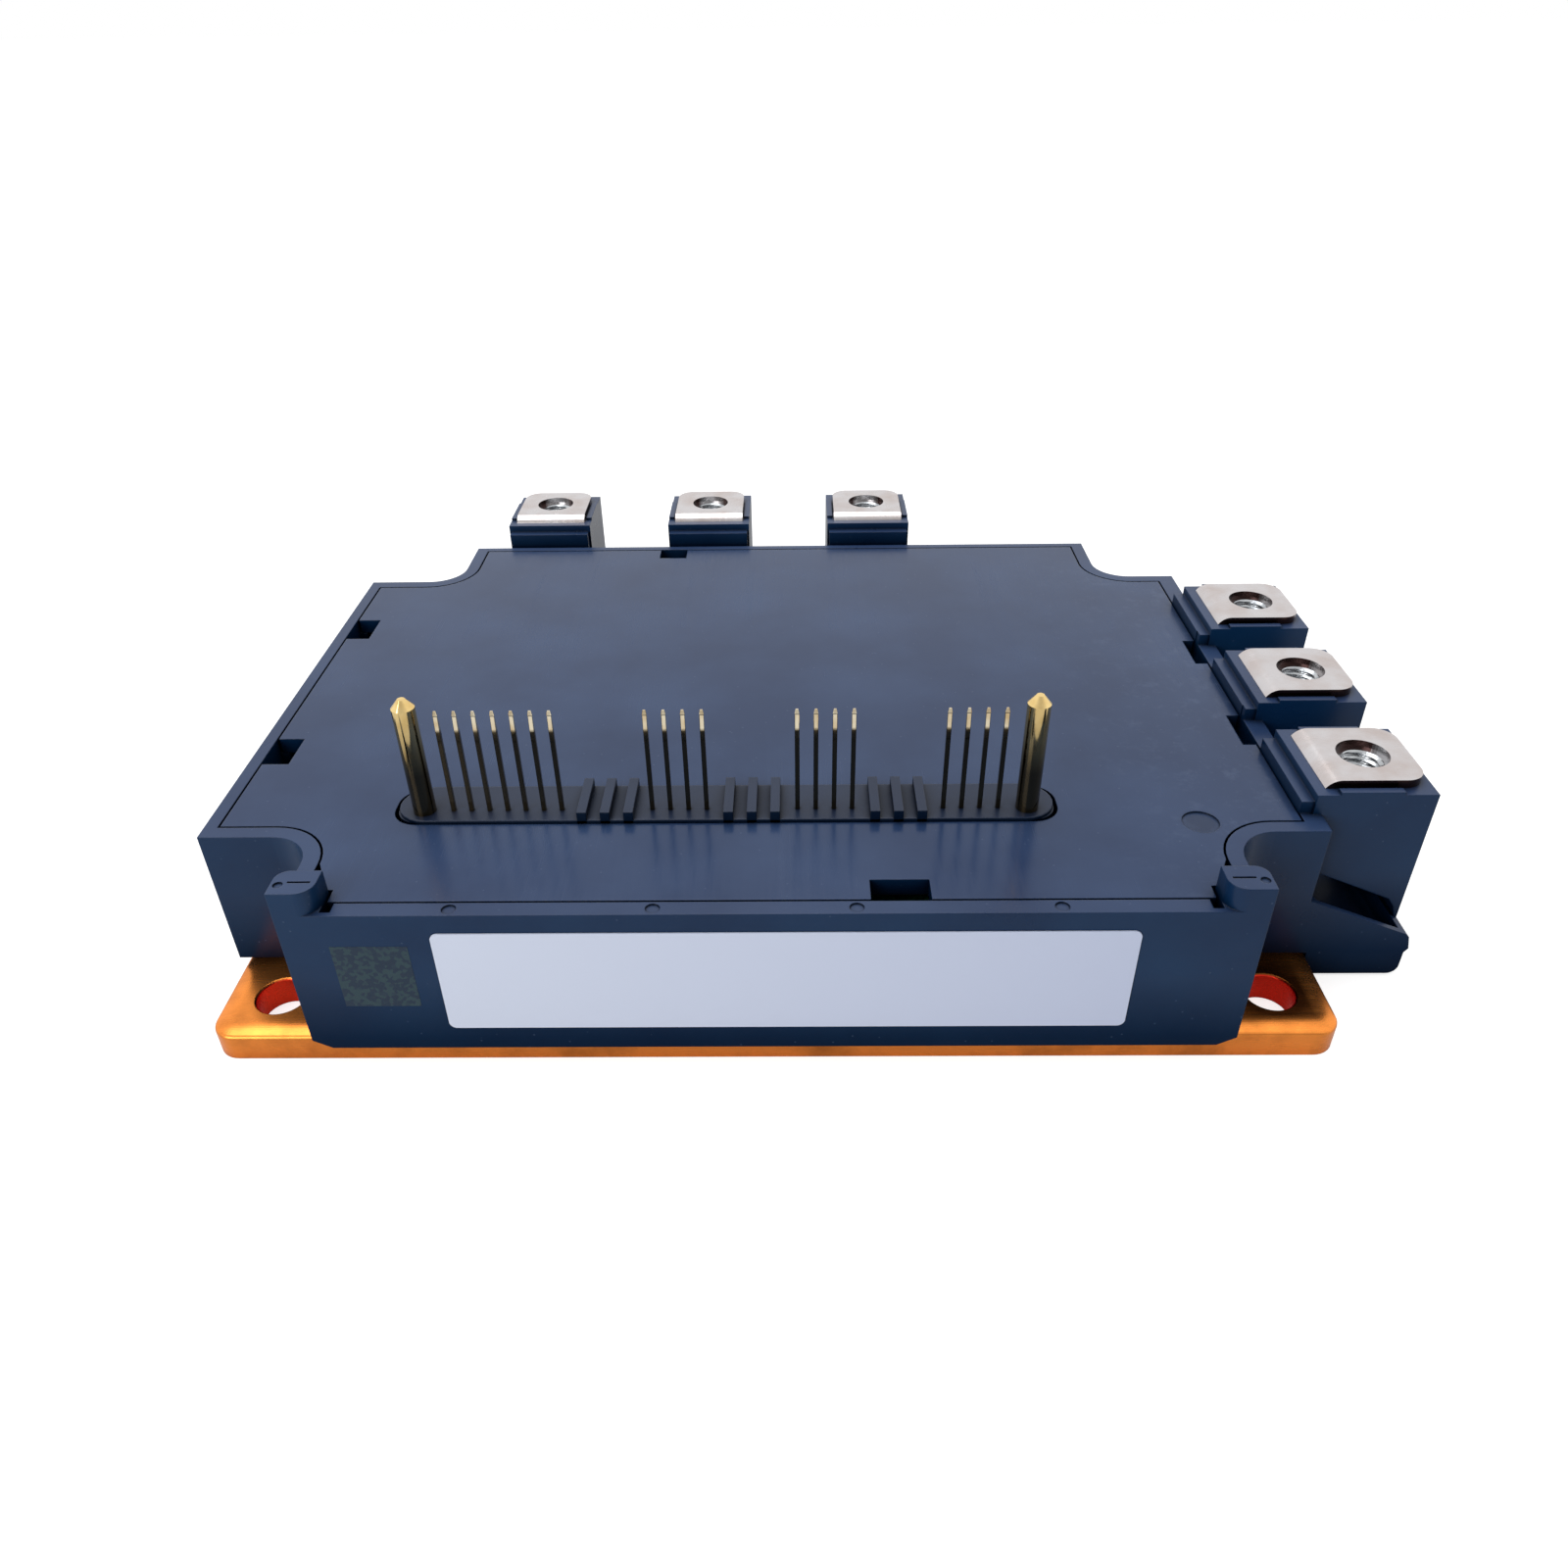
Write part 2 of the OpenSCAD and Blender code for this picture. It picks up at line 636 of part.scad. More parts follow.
module pin_header() color("#3c4762") {
    difference() {
        union() {
            translate([header_x, header_mid_y, header_base])
                linear_extrude(case_top - header_base) rounded_rect(header_len, header_wid, header_r);
            for (x = gap_places) for (i = [-1 : 1])
                translate([x + i * rib_pitch - rib_thick / 2, header_front_y - header_gap + 0.1,
                    case_top - 1])
                    cube([rib_thick, header_wid + 2 * header_gap - 0.2, rib_rise + 1]);
        }
        for (x = pin_places) translate([x, pin_y, 0])
            cube([pin_size, pin_size, far], center = true);
        for (s = [-1, 1]) translate([header_x + s * guide_pitch / 2, pin_y, case_top - guide_seat])
            cylinder(d = guide_shank_d, h = far);
    }
}

// square pin: straight shaft and a four-sided taper, as two crossed side views
module pin_side_view() {
    top = case_top + pin_rise;
    low = board_level - pin_tail;
    polygon([[-pin_size / 2, low], [pin_size / 2, low], [pin_size / 2, top - pin_taper],
        [pin_tip / 2, top], [-pin_tip / 2, top], [-pin_size / 2, top - pin_taper]]);
}

module control_pin(i) color("#c9a227") {
    translate([pin_places[i], pin_y, 0]) intersection() {
        along_y(pin_size) pin_side_view();
        rotate(90) along_y(pin_size) pin_side_view();
    }
}

// round pin: a slimmer shank moulded into the header, a shoulder, the shaft and a blunt cone
module guide_pin(s) color("#c9a227") {
    translate([header_x + s * guide_pitch / 2, pin_y, case_top]) {
        translate([0, 0, -guide_seat]) cylinder(d = guide_shank_d, h = guide_seat + guide_neck);
        translate([0, 0, guide_neck]) cylinder(d = guide_d, h = guide_rise - guide_cone - guide_neck);
        translate([0, 0, guide_rise - guide_cone])
            cylinder(d1 = guide_d, d2 = guide_d / 3, h = guide_cone);
    }
}

// ---- terminals ----

// side view of a busbar: pad, bend, leg, bend and tail
module busbar_section(side) {
    t = bar_thick;
    r = bend_r;
    tail = cavity_off(side) + tail_reach;
    translate([r, seat_level]) square([pad_reach - r, t]);
    intersection() {
        translate([r, pad_top - r]) ring(r, t);
        translate([0, pad_top - r]) square(r);
    }
    translate([0, tail_level + r]) square([t, pad_top - tail_level - 2 * r]);
    intersection() {
        translate([t - r, tail_level + r]) ring(r, t);
        translate([t - r, tail_level]) square(r);
    }
    translate([-tail, tail_level]) square([tail + t - r, t]);
}

module ring(r, t) {
    difference() {
        circle(r);
        circle(r - t);
    }
}

// the bar without its screw hole, as the moulding closes round it
module busbar_solid(side) {
    difference() {
        along_y(pad_wid) busbar_section(side);
        translate([0, 0, seat_level - 1]) linear_extrude(far) for (s = [-1, 1]) scale([1, s])
            translate([pad_reach, -pad_wid / 2]) scale([-1, 1]) corner_waste(pad_corner);
    }
}

module terminal(side, i) color("#c6c2c8") {
    at_terminal(side, i) difference() {
        busbar_solid(side);
        translate([screw_reach, 0, seat_level - 1]) cylinder(d = screw_hole_d, h = bar_thick + 2);
    }
}

module terminal_nuts() color("#b0b2b6") {
    for (s = sides) for (i = [1 : terminal_count])
        at_terminal(s, i) translate([screw_reach, 0, nut_level]) difference() {
            nut_shape(nut_flats, nut_thick);
            translate([0, 0, -1]) cylinder(d = nut_bore_d, h = nut_thick + 2);
        }
}

// ---- label ----

module label() color("#b8c0d8") {
    translate([label_x, -case_front - label_thick / 2, label_z]) rotate([90, 0, 0])
        linear_extrude(label_thick, center = true) rounded_rect(label_len, label_high, label_r);
}

// ---- control board ----

module control_board() color("#2f6b46") {
    translate([0, 0, board_level]) linear_extrude(board_thick) difference() {
        plan(wall_sum(lid_shelf + board_gap));
        for (x = pin_places) translate([x, pin_y]) square(pin_size, center = true);
    }
}

module driver_chip(i) color("#26262a") {
    translate([group_places[i], pin_y + driver_gap + driver_wid / 2, board_top + driver_thick / 2])
        cube([driver_len, driver_wid, driver_thick], center = true);
}

// ---- power stage ----

module on_tile(i) {
    if (i < 3) translate([tile_mid + (i - 1) * tile_pitch, 0, 0]) children();
    else translate([brake_mid_x, brake_mid_y, 0]) children();
}

function tile_wid(i) = i < 3 ? tile_y : brake_y;

module ceramic_tile(i) color("#e8e4dc") {
    on_tile(i) translate([-tile_x / 2, -tile_wid(i) / 2, ceramic_level])
        cube([tile_x, tile_wid(i), ceramic_thick]);
}

// a full sheet under each tile, and two tracks on top of it
module copper_tracks() color("#c47a45") {
    for (i = [0 : 3]) on_tile(i) {
        wid = tile_wid(i) - 2 * foil_margin;
        translate([foil_margin - tile_x / 2, -wid / 2, plate_thick])
            cube([tile_x - 2 * foil_margin, wid, foil_thick]);
        for (s = [-1, 1]) translate([s * track_offset - track_wid / 2, -wid / 2, foil_level])
            cube([track_wid, wid, foil_thick]);
    }
}

module chip(x, y, size) {
    translate([x - size / 2, y - size / 2, chip_level]) cube([size, size, chip_thick]);
}

module igbt_chip(i) color("#8f9096") {
    if (i < 6) chip(phase_switches[i], -chip_offset, igbt_size);
    else chip(brake_switch[0], brake_mid_y, brake_igbt_size);
}

module diode_chip(i) color("#a5a6aa") {
    if (i < 6) chip(phase_switches[i], chip_offset, diode_size);
    else chip(brake_switch[1], brake_mid_y, brake_diode_size);
}

// a wire bent up from one landing and down to the next, both given as [x, y, z]
module wire(a, b) {
    run = norm([b[0] - a[0], b[1] - a[1]]);
    top = max(a[2], b[2]) + wire_rise;
    t = wire_thick;
    translate([a[0], a[1], 0]) rotate(atan2(b[1] - a[1], b[0] - a[0])) along_y(t)
        polygon([[-t, a[2]], [t, a[2]], [t, a[2] + t], [2 * t + 0.8, top - t],
            [run - 2 * t - 0.8, top - t], [run - t, b[2] + t], [run - t, b[2]], [run + t, b[2]],
            [run + t, b[2] + t], [run - 0.8, top], [0.8, top], [-t, a[2] + t]]);
}

// wires from transistor to diode to track on each switch, and from the tracks to the tails
module bond_wires() color("#d4d4d6") {
    for (x = phase_switches) for (k = [-1 : 1]) {
        wx = x + k * wire_pitch;
        wire([wx, 2 - chip_offset, wire_level], [wx, chip_offset - 2, wire_level]);
        wire([wx, chip_offset + 2, wire_level], [wx, wire_land, chip_level]);
    }
    for (k = [-1 : 1]) wire([brake_switch[0] + 2, brake_mid_y + k * wire_pitch, wire_level],
        [brake_switch[1] - 2, brake_mid_y + k * wire_pitch, wire_level]);
    for (i = [0 : 2]) for (k = [-1 : 1]) {
        x = mid_back + (i - 1) * pitch_back + k * wire_pitch;
        wire([x, tile_y / 2 - 2, chip_level], [x, inner_back - tail_reach / 2, tail_level + bar_thick]);
    }
    for (i = [0 : 2]) for (k = [-1 : 1]) {
        y = mid_right + (i - 1) * pitch_right + k * wire_pitch;
        wire([tile_mid + tile_pitch + tile_x / 2 - 1.6, y, chip_level],
            [inner_right - tail_reach / 2, y, tail_level + bar_thick]);
    }
}

// upright leads from the tracks to the control board, one beside each transistor
module signal_leads() color("#b9a05a") {
    for (x = phase_switches) translate([x, -tile_y / 2 + 4, (chip_level + board_level) / 2])
        cube([0.6, 0.6, board_level - chip_level], center = true);
    translate([brake_switch[0] - brake_igbt_size / 2 - 1, brake_mid_y, (chip_level + board_level) / 2])
        cube([0.6, 0.6, board_level - chip_level], center = true);
}

// ---- the nodes ----

base_plate();
case_frame();
lid();
pin_header();
label();
terminal_nuts();
guide_pin(-1);  // guide_pin_left
guide_pin(1);  // guide_pin_right
control_board();
copper_tracks();
bond_wires();
signal_leads();
for (k = [0 : 5])
    terminal(sides[floor(k / 3)], k % 3 + 1);
for (i = [0 : len(pin_names) - 1])
    control_pin(i);
for (i = [0 : 3])
    driver_chip(i);
for (i = [0 : 3])
    ceramic_tile(i);
for (i = [0 : 6])
    igbt_chip(i);
for (i = [0 : 6])
    diode_chip(i);
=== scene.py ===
"""Power transistor module: a dark moulded case with a lid on a copper base plate."""
import json
import math

import bmesh
import bpy
from mathutils import Matrix, Vector


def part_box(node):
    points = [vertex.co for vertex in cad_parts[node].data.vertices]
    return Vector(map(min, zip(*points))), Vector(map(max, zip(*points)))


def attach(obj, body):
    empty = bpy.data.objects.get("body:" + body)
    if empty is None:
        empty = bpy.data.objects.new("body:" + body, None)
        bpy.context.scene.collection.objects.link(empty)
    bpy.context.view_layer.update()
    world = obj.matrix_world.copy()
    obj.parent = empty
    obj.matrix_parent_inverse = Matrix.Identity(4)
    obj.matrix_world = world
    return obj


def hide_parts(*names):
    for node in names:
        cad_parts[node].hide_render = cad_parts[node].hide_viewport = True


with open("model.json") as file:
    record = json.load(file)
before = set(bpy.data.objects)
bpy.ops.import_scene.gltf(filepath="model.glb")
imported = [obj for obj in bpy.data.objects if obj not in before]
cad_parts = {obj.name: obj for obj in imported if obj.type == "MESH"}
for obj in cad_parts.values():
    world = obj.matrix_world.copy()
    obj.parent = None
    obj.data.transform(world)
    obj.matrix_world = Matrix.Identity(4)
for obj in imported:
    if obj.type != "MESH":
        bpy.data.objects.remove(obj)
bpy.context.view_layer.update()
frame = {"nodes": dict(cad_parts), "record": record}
MM = 0.001

# ---- base plate ----
# The foot of the module is a copper plate, rolled and stamped out, with a mounting hole in
# each corner. The case is glued on top of it. Its underside is bare, for the heat sink.

mounts = {mount["name"]: mount for mount in frame["record"]["mounts"]}
base_holes = mounts["base_holes"]["dims"]
# the middle of the hole towards +X and +Y, which the other three mirror
PLATE_HOLE = (base_holes["spacing_x_mm"] / 2 * MM, base_holes["spacing_y_mm"] / 2 * MM, 0.0)
PLATE_HOLE_RADIUS = base_holes["hole_r_mm"] * MM
PLATE_HOLE_ROLL = 0.2 * MM
PLATE_HOLE_SIDES = 48
PLATE_CORNER = 2.8 * MM
PLATE_CORNER_STEPS = 10
PLATE_ROLL_IN = 2.1 * MM
PLATE_ROLL_STEP = 0.30 * MM
PLATE_ROLL_DROP = 0.0078 * MM
PLATE_ROLL_STEPS = 6
# the edge, from where its roll begins: how far in from the side, how far down from the top
PLATE_EDGE = [(PLATE_ROLL_IN - PLATE_ROLL_STEP * i, PLATE_ROLL_DROP * i * i)
              for i in range(PLATE_ROLL_STEPS + 1)]
PLATE_EDGE += [(0.12 * MM, 0.38 * MM), (0.03 * MM, 0.52 * MM), (0.0, 0.68 * MM)]
EDGE_SOFTNESS = 0.15 * MM
ROLLING_STREAK = 0.5 * MM
STAIN_SIZE = 6.0 * MM
# from where to where the painted shadow and reflection of the case fade: off a hole's axis, in from
# the plate's sides, along X
CASE_SHADE_REACH = (3.6 * MM, 8.5 * MM)
UNSHADED_BORDER = (1.4 * MM, 2.6 * MM)
CASE_SHADE_ALONG = (-20 * MM, 40 * MM)
# from where to where the hole's redness fades, off its axis
HOLE_WALL = (2.80 * MM, 2.90 * MM)
COPPER = "#ff9a46"
COPPER_STAIN_AND_SHADE = "#54260f"
COPPER_RED = "#f03526"


def linear(hex_colour):
    """An sRGB hex colour as the linear colour that a shader takes."""
    parts = [int(hex_colour[i:i + 2], 16) / 255 for i in (1, 3, 5)]
    return (*[c / 12.92 if c <= 0.04045 else ((c + 0.055) / 1.055) ** 2.4 for c in parts], 1.0)


def add(material, kind, inputs=None, **settings):
    """Adds a node. An input takes a number, a colour, a socket, or a node's first output.
    Some inputs are numbered: a MapRange turns its input 0 from the range 1 to 2 into the
    range 3 to 4, and a Mix of colours goes from its input 6 to its input 7."""
    made = material.node_tree.nodes.new("ShaderNode" + kind)
    for key, value in settings.items():
        setattr(made, key, value)
    for key, value in (inputs or {}).items():
        if isinstance(value, bpy.types.Node):
            value = value.outputs[0]
        if isinstance(value, bpy.types.NodeSocket):
            material.node_tree.links.new(value, made.inputs[key])
        else:
            made.inputs[key].default_value = value
    return made


def start_material(name):
    """A material with no nodes but the part's own coordinates, in metres."""
    material = bpy.data.materials.new(name)
    material.use_nodes = True
    material.node_tree.nodes.clear()
    return material, add(material, "TexCoord").outputs["Object"]


def finish_material(material, inputs):
    """Joins the finish to the material's output."""
    add(material, "OutputMaterial", {"Surface": add(material, "BsdfPrincipled", inputs)})
    return material


def dress(material, names):
    """Puts a material on solids of the frame."""
    for name in names:
        slots = frame["nodes"][name].data.materials
        slots.clear()
        slots.append(material)


def rolled_copper():
    """Rolled copper, a metal with a soft mirror finish: faint streaks along the rolling, brown
    stains where the air has reached it, a painted shadow and reflection of the case, dark round
    the holes and growing towards +X short of the plate's sides, and redder walls in the punched
    holes."""
    m, place = start_material("rolled_copper")
    along = add(m, "Mapping", {"Vector": place, "Scale": (0.04, 1.0, 1.0)})
    streaks = add(m, "TexNoise", {"Vector": along, "Scale": 1 / ROLLING_STREAK, "Detail": 4.0})
    stains = add(m, "TexNoise", {"Vector": place, "Scale": 1 / STAIN_SIZE, "Detail": 5.0,
                                 "Roughness": 0.6})
    level = add(m, "VectorMath", {0: place, 1: (1.0, 1.0, 0.0)}, operation="MULTIPLY")
    corner = add(m, "VectorMath", {0: level}, operation="ABSOLUTE")
    to_hole = add(m, "VectorMath", {0: corner, 1: PLATE_HOLE}, operation="DISTANCE").outputs["Value"]
    near_hole = add(m, "MapRange", {0: to_hole, 1: CASE_SHADE_REACH[0], 2: CASE_SHADE_REACH[1], 3: 1.0, 4: 0.0})
    apart = add(m, "SeparateXYZ", {0: add(m, "VectorMath", {0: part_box("base_plate")[1], 1: corner},
                                          operation="SUBTRACT")})
    inward = add(m, "Math", {0: apart.outputs["X"], 1: apart.outputs["Y"]}, operation="MINIMUM")
    inside = add(m, "MapRange", {0: inward, 1: UNSHADED_BORDER[0], 2: UNSHADED_BORDER[1]})
    side = add(m, "SeparateXYZ", {0: place}).outputs["X"]
    share = add(m, "MapRange", {0: side, 1: CASE_SHADE_ALONG[0], 2: CASE_SHADE_ALONG[1], 3: 0.15, 4: 0.9})
    # painted shade: a dark shadow and reflection of the case round the holes, growing towards +X
    case_shade = add(m, "Math", {0: near_hole, 1: inside}, operation="MULTIPLY")
    case_shade = add(m, "Math", {0: case_shade, 1: share}, operation="MULTIPLY")
    stain = add(m, "MapRange", {0: stains, 1: 0.42, 2: 0.72, 3: 0.0, 4: 0.45})
    # the brown is the real stains and the painted shade of the case together
    brown = add(m, "Math", {0: case_shade, 1: stain}, operation="MAXIMUM")
    body = add(m, "Mix", {0: brown, 6: linear(COPPER), 7: linear(COPPER_STAIN_AND_SHADE)}, data_type="RGBA")
    in_hole = add(m, "MapRange", {0: to_hole, 1: HOLE_WALL[0], 2: HOLE_WALL[1], 3: 0.9, 4: 0.0})
    colour = add(m, "Mix", {0: in_hole, 6: body.outputs[2], 7: linear(COPPER_RED)}, data_type="RGBA")
    soft_edge = add(m, "Bevel", {"Radius": EDGE_SOFTNESS}, samples=4)
    return finish_material(m, {
        "Base Color": colour.outputs[2],
        "Metallic": 1.0,
        "Roughness": add(m, "MapRange", {0: streaks, 1: 0.3, 2: 0.7, 3: 0.24, 4: 0.29}),
        "Normal": add(m, "Bump", {"Height": streaks, "Strength": 0.03, "Distance": 0.02 * MM,
                                  "Normal": soft_edge})})


def piece_from(mesh, name):
    """A named piece of the scene, made from a bmesh."""
    data = bpy.data.meshes.new(name)
    mesh.to_mesh(data)
    mesh.free()
    piece = bpy.data.objects.new(name, data)
    bpy.context.scene.collection.objects.link(piece)
    return piece


def level_loop(mesh, outline, z):
    """A loop of points round an outline, all at one height."""
    return [mesh.verts.new((x, y, z)) for x, y in outline]


def band(mesh, loops):
    """Joins each loop of points to the next one with a band of faces."""
    for lower, upper in zip(loops, loops[1:]):
        for i in range(len(lower)):
            j = (i + 1) % len(lower)
            mesh.faces.new((lower[i], lower[j], upper[j], upper[i]))


def plate_outline(low, high, inset):
    """The plate's outline with its round corners, drawn in by inset."""
    outline = []
    corners = ((high[0], high[1]), (low[0], high[1]), (low[0], low[1]), (high[0], low[1]))
    for quarter, (x, y) in enumerate(corners):
        centre_x = x - math.copysign(PLATE_CORNER, x)
        centre_y = y - math.copysign(PLATE_CORNER, y)
        for i in range(PLATE_CORNER_STEPS + 1):
            a = math.pi / 2 * (quarter + i / PLATE_CORNER_STEPS)
            outline.append((centre_x + (PLATE_CORNER - inset) * math.cos(a),
                            centre_y + (PLATE_CORNER - inset) * math.sin(a)))
    return outline


def hole_outline(x, y, radius):
    """The outline of a round hole."""
    turns = [math.tau * i / PLATE_HOLE_SIDES for i in range(PLATE_HOLE_SIDES)]
    return [(x + radius * math.cos(a), y + radius * math.sin(a)) for a in turns]


def rounded_plate(name, low, high):
    """A plate with round corners and a rolled upper edge, punched at each mounting hole."""
    mesh = bmesh.new()
    edge = [(inset, high[2] - drop) for inset, drop in PLATE_EDGE] + [(0.0, low[2])]
    walls = [[level_loop(mesh, plate_outline(low, high, inset), z) for inset, z in edge]]
    bore = ((PLATE_HOLE_RADIUS + PLATE_HOLE_ROLL, high[2]),
            (PLATE_HOLE_RADIUS, high[2] - PLATE_HOLE_ROLL),
            (PLATE_HOLE_RADIUS, low[2]))
    for x, y in ((1, 1), (-1, 1), (-1, -1), (1, -1)):
        walls.append([level_loop(mesh, hole_outline(x * PLATE_HOLE[0], y * PLATE_HOLE[1], radius), z)
                      for radius, z in bore])
    for loops in walls:
        band(mesh, loops)
    for end in (0, -1):
        rims = [mesh.edges.get((loops[end][i - 1], loops[end][i]))
                for loops in walls for i in range(len(loops[end]))]
        bmesh.ops.triangle_fill(mesh, use_beauty=True, use_dissolve=False, edges=rims)
    bmesh.ops.recalc_face_normals(mesh, faces=mesh.faces)
    return piece_from(mesh, name)


plate = rounded_plate("rolled_base_plate", *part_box("base_plate"))
plate.data.materials.append(rolled_copper())
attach(plate, "root")
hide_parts("base_plate")

# ---- case ----
# The case frame, with its ears, terminal blocks and side flanges, is one moulding of glass-
# filled PBT in dark blue, shot round the busbars. It is glued to the plate.

WALL_BLUE = "#08284b"
WALL_BLUE_CLOUD = "#0f3357"
# painted light: the greyer blue given to faces that look up
TOP_PAINTED_LIGHT_BLUE = "#243759"
TOP_PAINTED_LIGHT_CLOUD = "#2f4366"
# painted shade for corners, gaps and the foot; also the dark of the gate mark
SHADE_AND_GATE_BLUE = "#030c1c"
GLASS_FLECK = "#5a6a88"
FLOW_CLOUD = 16.0 * MM
SKIN_GRAIN = 0.35 * MM
FLECK_SPACING = 1.6 * MM
MILLING_LINE = 0.45 * MM
SCUFF_SIZE = 2.2 * MM
# from where to where each mark and painted shade fades: along X, off the gate's middle, and up from
# the floor for the foot's painted shade and dimmed shine
SCUFFED_ALONG = (34 * MM, 56 * MM)
GATE_DULL = (1.7 * MM, 2.3 * MM)
GATE_DARK = (1.4 * MM, 2.4 * MM)
FOOT_SHADE_RANGE = (3.5 * MM, 13.0 * MM)
FOOT_SHINE_SHADE_RANGE = (4.0 * MM, 12.0 * MM)
# how far the painted shade in corners reaches
CORNER_SHADE_REACH = 5.0 * MM
MOULD_ROUNDING = 0.2 * MM


def moulded_pbt(name, roughness, milled=0.0, gate=None, scuffs=0.0, depth=0.0):
    """Moulded PBT: semi-gloss, with slow flow clouds and pale glass flecks in the skin. Its
    polished walls are deep blue, the faces that look up are greyer with painted light from above,
    and its corners, gaps and foot are darker with painted shade, where its shine is dimmed too.
    milled is how strongly the tool's milling lines show, gate the place of the dull round mark
    where the melt came in, scuffs how far its end towards +X is rubbed pale, and depth how much
    darker it is painted all over."""
    m, place = start_material(name)
    flow = add(m, "TexNoise", {"Vector": place, "Scale": 1 / FLOW_CLOUD, "Detail": 4.0})
    skin = add(m, "TexNoise", {"Vector": place, "Scale": 1 / SKIN_GRAIN, "Detail": 2.0})
    glass = add(m, "TexVoronoi", {"Vector": place, "Scale": 1 / FLECK_SPACING})
    fleck = add(m, "MapRange", {0: glass.outputs["Distance"], 1: 0.03, 2: 0.09, 3: 0.3, 4: 0.0})
    cloud = add(m, "MapRange", {0: flow, 1: 0.35, 2: 0.68})
    wall = add(m, "Mix", {0: cloud, 6: linear(WALL_BLUE), 7: linear(WALL_BLUE_CLOUD)},
               data_type="RGBA").outputs[2]
    top = add(m, "Mix", {0: cloud, 6: linear(TOP_PAINTED_LIGHT_BLUE), 7: linear(TOP_PAINTED_LIGHT_CLOUD)},
              data_type="RGBA").outputs[2]
    height = add(m, "SeparateXYZ", {0: place}).outputs["Z"]
    # painted shade: the walls get darker towards their foot
    foot = add(m, "MapRange", {0: height, 1: FOOT_SHADE_RANGE[0], 2: FOOT_SHADE_RANGE[1], 3: 0.55, 4: 0.0})
    wall = add(m, "Mix", {0: foot, 6: wall, 7: linear(SHADE_AND_GATE_BLUE)}, data_type="RGBA").outputs[2]
    # painted light: faces that look up are made greyer, as lit and mirroring from above
    facing = add(m, "SeparateXYZ", {0: add(m, "NewGeometry").outputs["True Normal"]}).outputs["Z"]
    painted_top_light = add(m, "MapRange", {0: facing, 1: 0.5, 2: 0.9})
    colour = add(m, "Mix", {0: painted_top_light, 6: wall, 7: top}, data_type="RGBA").outputs[2]
    colour = add(m, "Mix", {0: fleck, 6: colour, 7: linear(GLASS_FLECK)}, data_type="RGBA").outputs[2]
    relief = skin
    shine = add(m, "MapRange", {0: flow, 1: 0.3, 2: 0.7, 3: roughness - 0.04, 4: roughness + 0.05})
    if milled:
        across = add(m, "Mapping", {"Vector": place, "Scale": (1.0, 0.012, 1.0)})
        lines = add(m, "TexNoise", {"Vector": across, "Scale": 1 / MILLING_LINE, "Detail": 3.0})
        relief = add(m, "Math", {0: skin, 1: lines}, operation="ADD")
        uneven = add(m, "MapRange", {0: lines, 1: 0.3, 2: 0.7, 3: -milled, 4: milled})
        shine = add(m, "Math", {0: shine, 1: uneven}, operation="ADD")
    if gate:
        off = add(m, "VectorMath", {0: place, 1: gate}, operation="DISTANCE").outputs["Value"]
        dull = add(m, "MapRange", {0: off, 1: GATE_DULL[0], 2: GATE_DULL[1], 3: 0.12, 4: 0.0})
        shine = add(m, "Math", {0: shine, 1: dull}, operation="ADD")
        dark = add(m, "MapRange", {0: off, 1: GATE_DARK[0], 2: GATE_DARK[1], 3: 0.4, 4: 0.0})
        colour = add(m, "Mix", {0: dark, 6: colour, 7: linear(SHADE_AND_GATE_BLUE)},
                     data_type="RGBA").outputs[2]
    if scuffs:
        rubbed = add(m, "TexNoise", {"Vector": place, "Scale": 1 / SCUFF_SIZE, "Detail": 6.0,
                                     "Roughness": 0.75})
        side = add(m, "SeparateXYZ", {0: place}).outputs["X"]
        reach = add(m, "MapRange", {0: side, 1: SCUFFED_ALONG[0], 2: SCUFFED_ALONG[1],
                                    3: 0.0, 4: scuffs})
        pale = add(m, "MapRange", {0: rubbed, 1: 0.52, 2: 0.72})
        amount = add(m, "Math", {0: pale, 1: reach}, operation="MULTIPLY")
        colour = add(m, "Mix", {0: amount, 6: colour, 7: linear(GLASS_FLECK)},
                     data_type="RGBA").outputs[2]
    # painted shade in corners, gaps and recesses, from ambient occlusion; depth darkens it all over
    open_air = add(m, "AmbientOcclusion", {"Distance": CORNER_SHADE_REACH}, samples=12).outputs["AO"]
    in_open = add(m, "MapRange", {0: open_air, 1: 0.35, 2: 0.90, 4: 1.0 - depth})
    colour = add(m, "Mix", {0: in_open, 6: linear(SHADE_AND_GATE_BLUE), 7: colour},
                 data_type="RGBA").outputs[2]
    # painted shade on the shine: reflections are dimmed in corners and near the foot
    shine_shade = add(m, "MapRange", {0: open_air, 1: 0.3, 2: 0.8, 3: 0.1, 4: 0.5})
    above_foot = add(m, "MapRange", {0: height, 1: FOOT_SHINE_SHADE_RANGE[0], 2: FOOT_SHINE_SHADE_RANGE[1], 3: 0.2})
    soft_edge = add(m, "Bevel", {"Radius": MOULD_ROUNDING}, samples=4)
    return finish_material(m, {
        "Base Color": colour,
        "Roughness": shine,
        "IOR": 1.35,
        "Specular IOR Level": add(m, "Math", {0: shine_shade, 1: above_foot}, operation="MULTIPLY"),
        "Normal": add(m, "Bump", {"Height": relief, "Strength": 0.12, "Distance": 0.015 * MM,
                                  "Normal": soft_edge})})


dress(moulded_pbt("moulded_pbt_case", 0.30), ["case_frame"])

# ---- laser marking ----
# A square of the front wall is roughened by a laser, which bleaches the skin of the plastic in
# small irregular spots. Here they follow no pattern, and say nothing.

MARK_X = (-44.5 * MM, -36.6 * MM)
MARK_Z = (8.6 * MM, 16.8 * MM)
MARK_RISE = 0.02 * MM
MARK_SPOT = 0.42 * MM
MARK_SKIN = "#10293f"
MARK_BURNT = "#2c424b"


